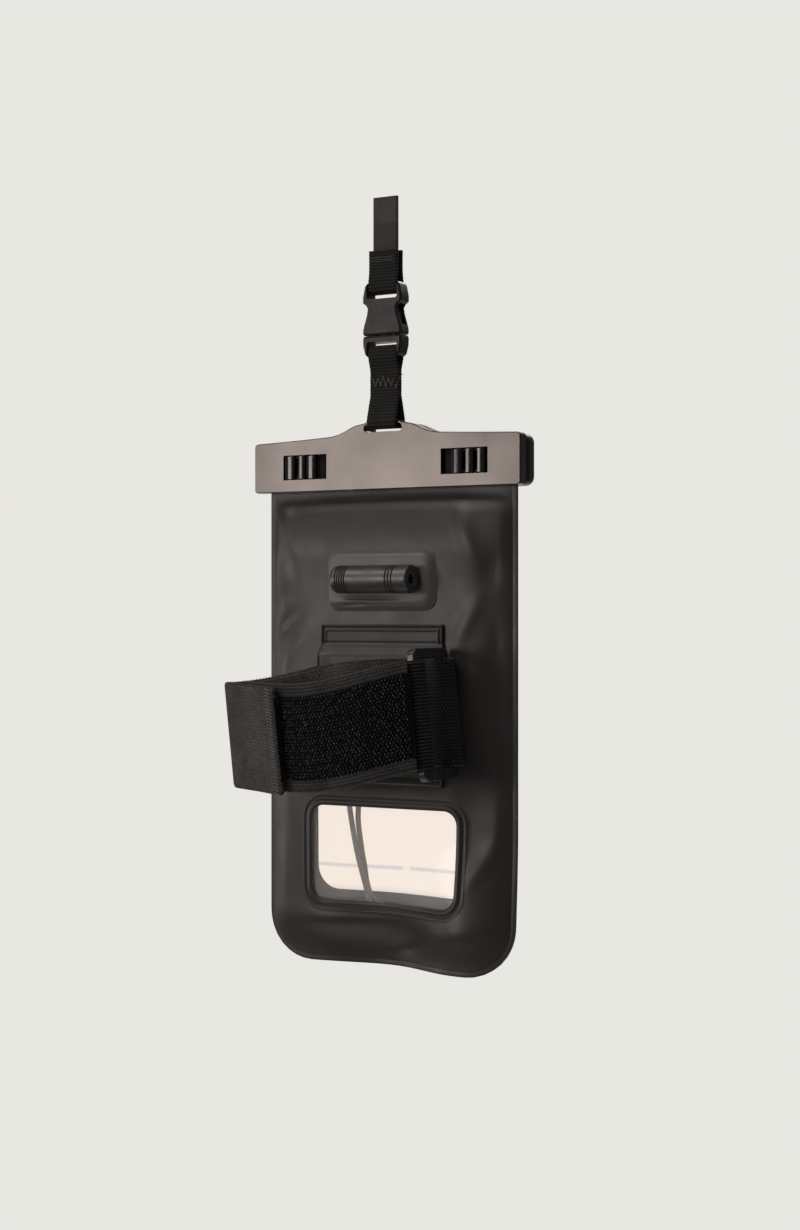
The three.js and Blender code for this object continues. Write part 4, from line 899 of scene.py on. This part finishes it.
LEAD = [
    (-12.0, -0.9, -55.2), (-16.5, -0.5, -61.2), (-19.0, -0.6, -77.2), (-19.6, -0.9, -99.2),
    (-18.5, -1.2, -119.2), (-16.6, -1.2, -136.2), (-13.5, -1.2, -153.2), (-10.6, -1.2, -166.2),
    (-9.6, -1.1, -171.2), (-7.6, -0.8, -175.6), (-4.2, -0.3, -178.2), (-0.8, 0.3, -176.6),
    (-1.4, 0.8, -173.4), (-5.6, 1.1, -172.2), (-9.8, 1.25, -169.6), (-11.6, 1.25, -164.6),
    (-12.1, 1.2, -159.2), (-13.2, 1.2, -151.2), (-14.3, 1.1, -139.2), (-12.4, 0.8, -130.2),
    (-6.5, 0.4, -123.6), (0.4, 0.1, -120.2), (2.5, 0.0, -115.2), (2.5, 0.0, -108.0),
]


def inner_lead():
    """A round tube along the lead's route, which follows the wave of the lower edge in depth."""
    route = np.array(LEAD)
    route[:, 1] += hem(route[:, 0], route[:, 2])
    at, tangent, run = evenly(smooth_route(route), 260)
    side = np.cross(tangent, (0.0, 1.0, 0.0))
    side /= np.linalg.norm(side, axis=1)[:, None]
    over = np.cross(side, tangent)
    angle = np.linspace(0, 2 * math.pi, 18, endpoint=False)
    c, s = np.cos(angle)[None, :, None], np.sin(angle)[None, :, None]
    grid = at[:, None] + side[:, None] * c + over[:, None] * s
    shown = piece("inner_lead", grid, capped(*grid.shape[:2])[0], RUBBER, "audio_lead")


inner_lead()


# Tunnel patch

def patch_lift(x, z):
    """How far the patch stands off the sheet: nothing at its two welds, full over the strap between."""
    top = smooth((PATCH[3] - PATCH_TOP_WELD - z) / 5.4)
    bottom = smooth((z - PATCH[2] - PATCH_BOTTOM_WELD) / 1.6)
    flare = 0.6 * smooth((PATCH[0] + 7 - x) / 7)
    return (GAP + STRAP_THICK + flare) * top * bottom


def patch_seat(x, z):
    """Inner side of the patch."""
    back_plate = -SHEET_FLAT_Y - PUFF
    return np.minimum(rear_skin(x, z), back_plate) - GAP - patch_lift(x, z)


def patch_face(x, z):
    """Outer side: a double raised line round the top weld, a pressed seam under it, a rounded lower rim."""
    left, right = x - PATCH[0], PATCH[1] - x
    top, bottom = PATCH[3] - z, z - PATCH[2]
    upper = smooth((PATCH_TOP_WELD + 0.6 - top) / 0.5)
    rim = np.minimum(np.minimum(left, right), top)
    lines = -0.42 * bump(rim, 0.45, 0.36) + 0.30 * bump(rim, 1.2, 0.36) - 0.30 * bump(rim, 1.9, 0.36)
    seam = 0.30 * bump(top, PATCH_TOP_WELD, 0.35) - 0.12 * bump(top, PATCH_TOP_WELD + 0.9, 0.5)
    low = smooth((PATCH_BOTTOM_WELD + 0.5 - bottom) / 0.5)
    lower_rim = np.minimum(np.minimum(left, right), bottom)
    lower = low * (-0.22 * bump(lower_rim, 0.5, 0.4) + 0.18 * bump(lower_rim, 1.3, 0.4))
    free = -0.30 * bump(left, 0.35, 0.35) * (1 - upper)
    return patch_seat(x, z) - PATCH_THICK + lines * upper + seam + lower + free


slab("tunnel_patch", (*PATCH, 0.9), patch_face, patch_seat, PATCH_VINYL, "strap_patch",
     rows=170, columns=150)


# Armband

STRAP_PLAN = [
    (28.4, -34.4), (20, -37.5), (8, -40.4), (-6, -41.0), (-20, -38.6), (-33, -34.0), (-41.4, -29.2),
    (-43.9, -26.6), (-42.6, -23.8), (-36, -17.6), (-28, -12.2), (-20, -8.75), (-10, -8.35), (14, -8.35),
    (21.5, -9.75), (26.5, -11.85), (29.6, -11.85), (30.9, -9.55), (30.9, -7.55), (29.6, -5.35), (25, -5.35),
    (10, -5.35), (-20, -5.35), (-27, -5.95), (-35.5, -9.0), (-42.6, -15.0), (-47.6, -21.4), (-49.4, -27.4),
    (-47.4, -32.2), (-42, -35.3), (-32, -38.9), (-21, -43.1),
]
ELASTIC_PLAN = [
    (12.5, -37.0), (19, -34.9), (26.5, -32.2), (29.6, -32.2), (30.8, -30.1), (30.8, -28.1), (29.6, -26.0),
    (25.5, -26.0), (19, -32.0), (12.0, -34.8),
]


def strap_relief(run, across, facing):
    """Selvages a little lower than the pile, with a beaded edge of one bead per rib."""
    from_edge = STRAP_WIDTH / 2 - np.abs(across)
    pile = smooth((from_edge - SELVAGE) / 0.6) * (facing > 0)
    bead = 0.16 * np.sin(2 * math.pi * run / 1.15) * smooth((1.4 - from_edge) / 1.2)
    return 0.22 * pile - 0.18 * smooth((1.6 - from_edge) / 1.6) + bead


def elastic_relief(run, across, facing):
    """Lengthwise ribs as a sine across the elastic, each pinched at equal steps along it."""
    step = 3.6
    pinch = 1 - 0.55 * bump(np.mod(run, step), step / 2, 0.32)
    return 0.17 * np.sin(2 * math.pi * across / RIB_PITCH) * pinch - 0.10


STRAP_AT, STRAP_WAY, STRAP_RUN = evenly(smooth_route(STRAP_PLAN), 3001)
STRAP_LONG = float(STRAP_RUN[-1])

strap("arm_strap_webbing", STRAP_PLAN, ARMBAND_SECTION, band_point, ARMBAND,
      "arm_strap", 1000, relief=strap_relief)
strap("elastic_loop", ELASTIC_PLAN, ELASTIC_SECTION, band_point, ELASTIC,
      "ring_elastic_loop", 220, relief=elastic_relief)
strap("hook_tape_strip", STRAP_PLAN, HOOK_SECTION, band_point, HOOK,
      "hook_tape", 70, stretch=(1 - 27.7 / STRAP_LONG, 1 - 0.7 / STRAP_LONG),
      offset=STRAP_THICK / 2 + GAP + HOOK_THICK / 2)


def strap_place(run, across, off):
    """Points on the laid armband: distance along its plan, height across it, distance to the left of it."""
    x, y, way_x, way_y = (np.interp(run, STRAP_RUN, line) for line in (*STRAP_AT.T, *STRAP_WAY.T))
    return band_point(x - way_y * off, y + way_x * off, across)


def pile_loops():
    """Knitted pile as small arches of yarn, in rows moved half a loop against each other.

    They stand where the pile can be seen: the front layer, its fold, and the inside of the outer fold.
    """
    draw = np.random.RandomState(11)
    rows = np.arange(-14.3, 14.4, 1.12)
    stretches = (np.arange(1.5, 108.0, 1.32), np.arange(STRAP_LONG - 70.0, STRAP_LONG - 28.5, 1.32))
    u, v = np.meshgrid(np.concatenate(stretches), rows)
    odd = (np.arange(len(rows)) % 2)[:, None]
    u = u + 0.66 * odd + draw.uniform(-0.22, 0.22, u.shape)
    v = v + draw.uniform(-0.16, 0.16, v.shape)
    lean = (0.40 + draw.uniform(-0.14, 0.14, u.shape)) * (1 - 2 * odd)
    u, v, lean = u.ravel(), v.ravel(), lean.ravel()
    off = STRAP_THICK / 2 + 0.12
    a = strap_place(u - 0.20, v - lean, off)
    b = strap_place(u + 0.20, v + lean, off)
    normal = strap_place(u, v, off + 1.0) - strap_place(u, v, off)
    thread_bits("pile_loops", a, b, normal, 0.27, 0.50, PILE)


def end_overlock():
    """Overlock along the strap's end: slanted stitches over its edge and a line of short ones along them.

    Each row of points is a distance back from the end, a shift across and a distance out.
    """
    z = np.linspace(-STRAP_WIDTH / 2 + 0.7, STRAP_WIDTH / 2 - 0.7, 33)
    wave = 0.12 * np.sin(z * 5.3)
    outer = -STRAP_THICK / 2 - 0.10
    a, b, c, d, here, off = (strap_place(STRAP_LONG - back, z + shift, outer - out) for back, shift, out in (
        (0.15 + 0 * z, -0.35, 0), (2.7 + wave, 0.35 + wave, 0), (2.8 - wave, -0.5, 0), (2.8 + wave, 0.5, 0),
        (1.5 + 0 * z, 0, 0), (1.5 + 0 * z, 0, 1),
    ))
    thread_bits("end_overlock", np.concatenate([a, c]), np.concatenate([b, d]), np.tile(off - here, (2, 1)),
                0.27, 0.18, PALE_THREAD)


def edge_beads():
    """Bright turns of the weft along both edges of the armband: one loop per rib."""
    run = np.arange(0.8, STRAP_LONG - 0.8, RIB_PITCH)
    side = np.repeat([-1.0, 1.0], len(run))
    run = np.tile(run, 2)
    edge, off = side * (STRAP_WIDTH / 2 - 0.25), STRAP_THICK / 2 - 0.25
    a, b = strap_place(run - 0.28, edge, -off), strap_place(run + 0.28, edge, off)
    normal = np.stack([0 * side, 0 * side, side], 1)
    thread_bits("armband_edge_beads", a, b, normal, 0.26, 0.30, EDGE_THREAD)


pile_loops()
edge_beads()
end_overlock()


# Lanyard

def rib_relief(run, across, facing):
    """Cross ribs with a scalloped edge."""
    edge = smooth((np.abs(across) - 4.9) / 0.9)
    return 0.022 * np.sin(2 * math.pi * run / 1.15) * (1 + 4.5 * edge)


# Half the distance between the loop's two plies, and the depths of its runs behind and before the tab
PLIES = 0.75
TAB_REAR, TAB_FRONT = -6.65, -0.05


def bar_turn(y, z, start):
    """Quarter circle of the webbing's middle round an edge at (y, z), from an angle in degrees."""
    angle = np.radians(start + np.array([0.0, 22.5, 45.0, 67.5, 90.0]))
    return list(zip(y + 0.9 * np.cos(angle), z + 0.9 * np.sin(angle)))


def both_sides(half):
    """A lanyard route: its front half, as distances from the middle and heights, then its mirror image."""
    front = [(LANYARD_Y + off, z) for off, z in half]
    rear = [(LANYARD_Y - off, z) for off, z in reversed(half) if off]
    return front + rear


LOWER_LOOP = [
    (TAB_REAR, 2.5), *bar_turn(-5.75, 1.4, 180.0), *bar_turn(-0.95, 1.4, 270.0), (TAB_FRONT, 2.5),
    *both_sides([(PLIES + 1.0, 8.2), (PLIES, 11.7), (PLIES, 13.2), (PLIES, 19.0), (PLIES, 20.5), (2.2, 25.3),
                 (2.2, 27.5), (1.76, 28.7), (0.0, 29.1)]),
]
UPPER_FOLD = both_sides([(1.65, 63.5), (1.65, 56.0), (2.2, 52.0), (2.2, 50.1), (1.76, 48.9), (0.0, 48.5)])
UPPER_FOLD.reverse()
NECK_END = [(LANYARD_Y, z) for z in (56.8, 65.0, 74.0, 82.8)]
strap("lower_webbing_loop", LOWER_LOOP, WEBBING_SECTION, lanyard_point, WEBBING,
      "lanyard_loop", 420, closed=True, relief=rib_relief)
strap("upper_webbing_fold", UPPER_FOLD, WEBBING_SECTION, lanyard_point, WEBBING,
      "upper_webbing", 220, LANYARD_TOP, relief=rib_relief)
strap("neck_strap_end", NECK_END, NECK_SECTION, lanyard_point, NECK, "neck_strap", 160,
      LANYARD_TOP)


def lanyard_stitches():
    """A zigzag across the lower loop, a bartack on the upper fold and a loose thread's end with its knot."""
    x = np.array([-4.7, -3.3, -2.4, -1.1, -0.3, 1.0, 1.9, 3.2, 4.1])
    z = np.array([18.3, 14.8, 17.9, 14.7, 18.6, 14.3, 17.8, 14.8, 17.5])
    over = 0.66
    zigzag = np.stack([x, np.full(9, LANYARD_Y - PLIES - over), z], 1)
    across = np.linspace(-4.9, 4.3, 15)
    rear = np.full(15, LANYARD_Y - 1.65 - over)
    bartack = np.concatenate([
        np.stack([across, rear, level + 0.12 * np.sin(across * 3.1)], 1) for level in (60.9, 60.1, 59.4)
    ])
    tail = np.array([
        [5.2, -4.9, 14.6], [5.9, -5.1, 15.6], [6.4, -5.2, 16.8], [6.8, -5.2, 17.7], [7.6, -5.1, 18.5],
        [7.9, -5.0, 18.9],
    ])
    knot = np.array([[5.3, -4.9, 14.2], [5.6, -5.0, 15.0], [5.0, -4.9, 14.9]])
    for name, a, b, radius, rise, body in (
        ("lower_zigzag", zigzag[:-1], zigzag[1:], 0.24, 0.14, CASE),
        ("upper_bartack", bartack, bartack + np.array([0.62, 0.0, 0.12]), 0.2, 0.14, LANYARD_TOP),
        ("loose_thread", tail[:-1], tail[1:], 0.14, 0.02, CASE),
        ("loose_knot", knot, knot[[1, 2, 0]], 0.34, 0.2, CASE),
    ):
        thread_bits(name, a, b, (0.0, -1.0, 0.0), radius, rise, LANYARD_THREAD, body)


lanyard_stitches()


# Room and light

def room():
    """A pale world, a small pale floor below the view and soft lamps.

    What a mirror sees of the world is pale only round the photo's backdrop: the dot product of the direction
    with the way the photo looks, eased between two limits, and a low share of it elsewhere.
    """
    scene = bpy.context.scene
    scene.view_settings.view_transform = "Standard"
    world = bpy.data.worlds.new("pale_room")
    scene.world = world
    world.use_nodes = True
    tree = world.node_tree
    sky = Nodes(tree)

    def light(colour, strength=1.0):
        return sky.put("ShaderNodeBackground", {"Color": colour, "Strength": strength})

    def either(ray, first, second):
        share = sky.put("ShaderNodeLightPath", out=ray)
        return sky.put("ShaderNodeMixShader", {0: share, 1: first, 2: second})

    photo_way = (-0.5, 0.866, 0.0)
    ahead = sky.vector("DOT_PRODUCT", sky.put("ShaderNodeTexCoord", out="Generated"), photo_way, "Value")
    share = sky.between(ahead, 0.62, 0.90, 0.0, 1.0, interpolation_type="SMOOTHSTEP")
    mirrored = light((1.0, 0.98, 0.95), sky.scaled(share, 0.70, 0.06))
    reflected = either("Is Glossy Ray", light((1.0, 0.975, 0.95), 0.26), mirrored)
    behind_film = either("Is Transmission Ray", reflected, light((1.0, 0.905, 0.835)))
    seen = either("Is Camera Ray", behind_film, light(BACKDROP))
    sky.feed(tree.nodes["World Output"].inputs["Surface"], seen)
    tree.nodes.remove(tree.nodes["Background"])

    for name, place, aim_z, wide, high, power, colour in (
        ("level_softbox", (-0.57, -0.98, 0.0), -0.04, 0.28, 0.32, 2.45, (1.0, 0.91, 0.86)),
        ("high_softbox", (-0.42, -0.74, 0.92), -0.05, 0.60, 0.34, 5.0, (1.0, 0.95, 0.91)),
        ("left_fill", (-1.15, -0.50, -0.17), -0.13, 0.45, 0.4, 2.0, (1.0, 0.95, 0.93)),
        ("far_softbox", (0.02, 0.98, 0.84), -0.06, 0.60, 0.40, 9.0, (1.0, 0.96, 0.93)),
        ("top_light", (0.15, 0.35, 1.0), -0.05, 0.8, 0.8, 5.0, (1.0, 1.0, 1.0)),
    ):
        data = bpy.data.lights.new(name, "AREA")
        data.shape = "RECTANGLE"
        data.size, data.size_y = wide, high
        data.energy = power
        data.color = colour
        lamp = bpy.data.objects.new(name, data)
        lamp.location = place
        way = np.array((0.0, 0.0, aim_z)) - np.array(place)
        rise = math.atan2(math.hypot(way[0], way[1]), -way[2])
        lamp.rotation_euler = (rise, 0, math.atan2(way[1], way[0]) - math.pi / 2)
        scene.collection.objects.link(lamp)

    radius, height, corners = 0.62, -0.74, 96
    angle = np.linspace(0, 2 * math.pi, corners, endpoint=False)
    rim = np.stack([radius * np.cos(angle), radius * np.sin(angle), np.full(corners, height)], 1)
    floor = bpy.data.meshes.new("pale_floor")
    floor.from_pydata(rim.tolist(), [], [list(range(corners))])
    shown = bpy.data.objects.new("pale_floor", floor)
    scene.collection.objects.link(shown)
    paint = Finish("floor_pale_paint", (0.80, 0.79, 0.755), 0.9)
    glow = paint.put("ShaderNodeEmission", {"Color": BACKDROP, "Strength": 1.0})
    blended = paint.times(paint.put("ShaderNodeLightPath", out="Is Camera Ray"), 0.78)
    both = paint.put("ShaderNodeMixShader", {0: blended, 1: paint.shader.outputs[0], 2: glow})
    paint.feed(paint.tree.nodes["Material Output"].inputs["Surface"], both)
    floor.materials.append(paint.made)


room()
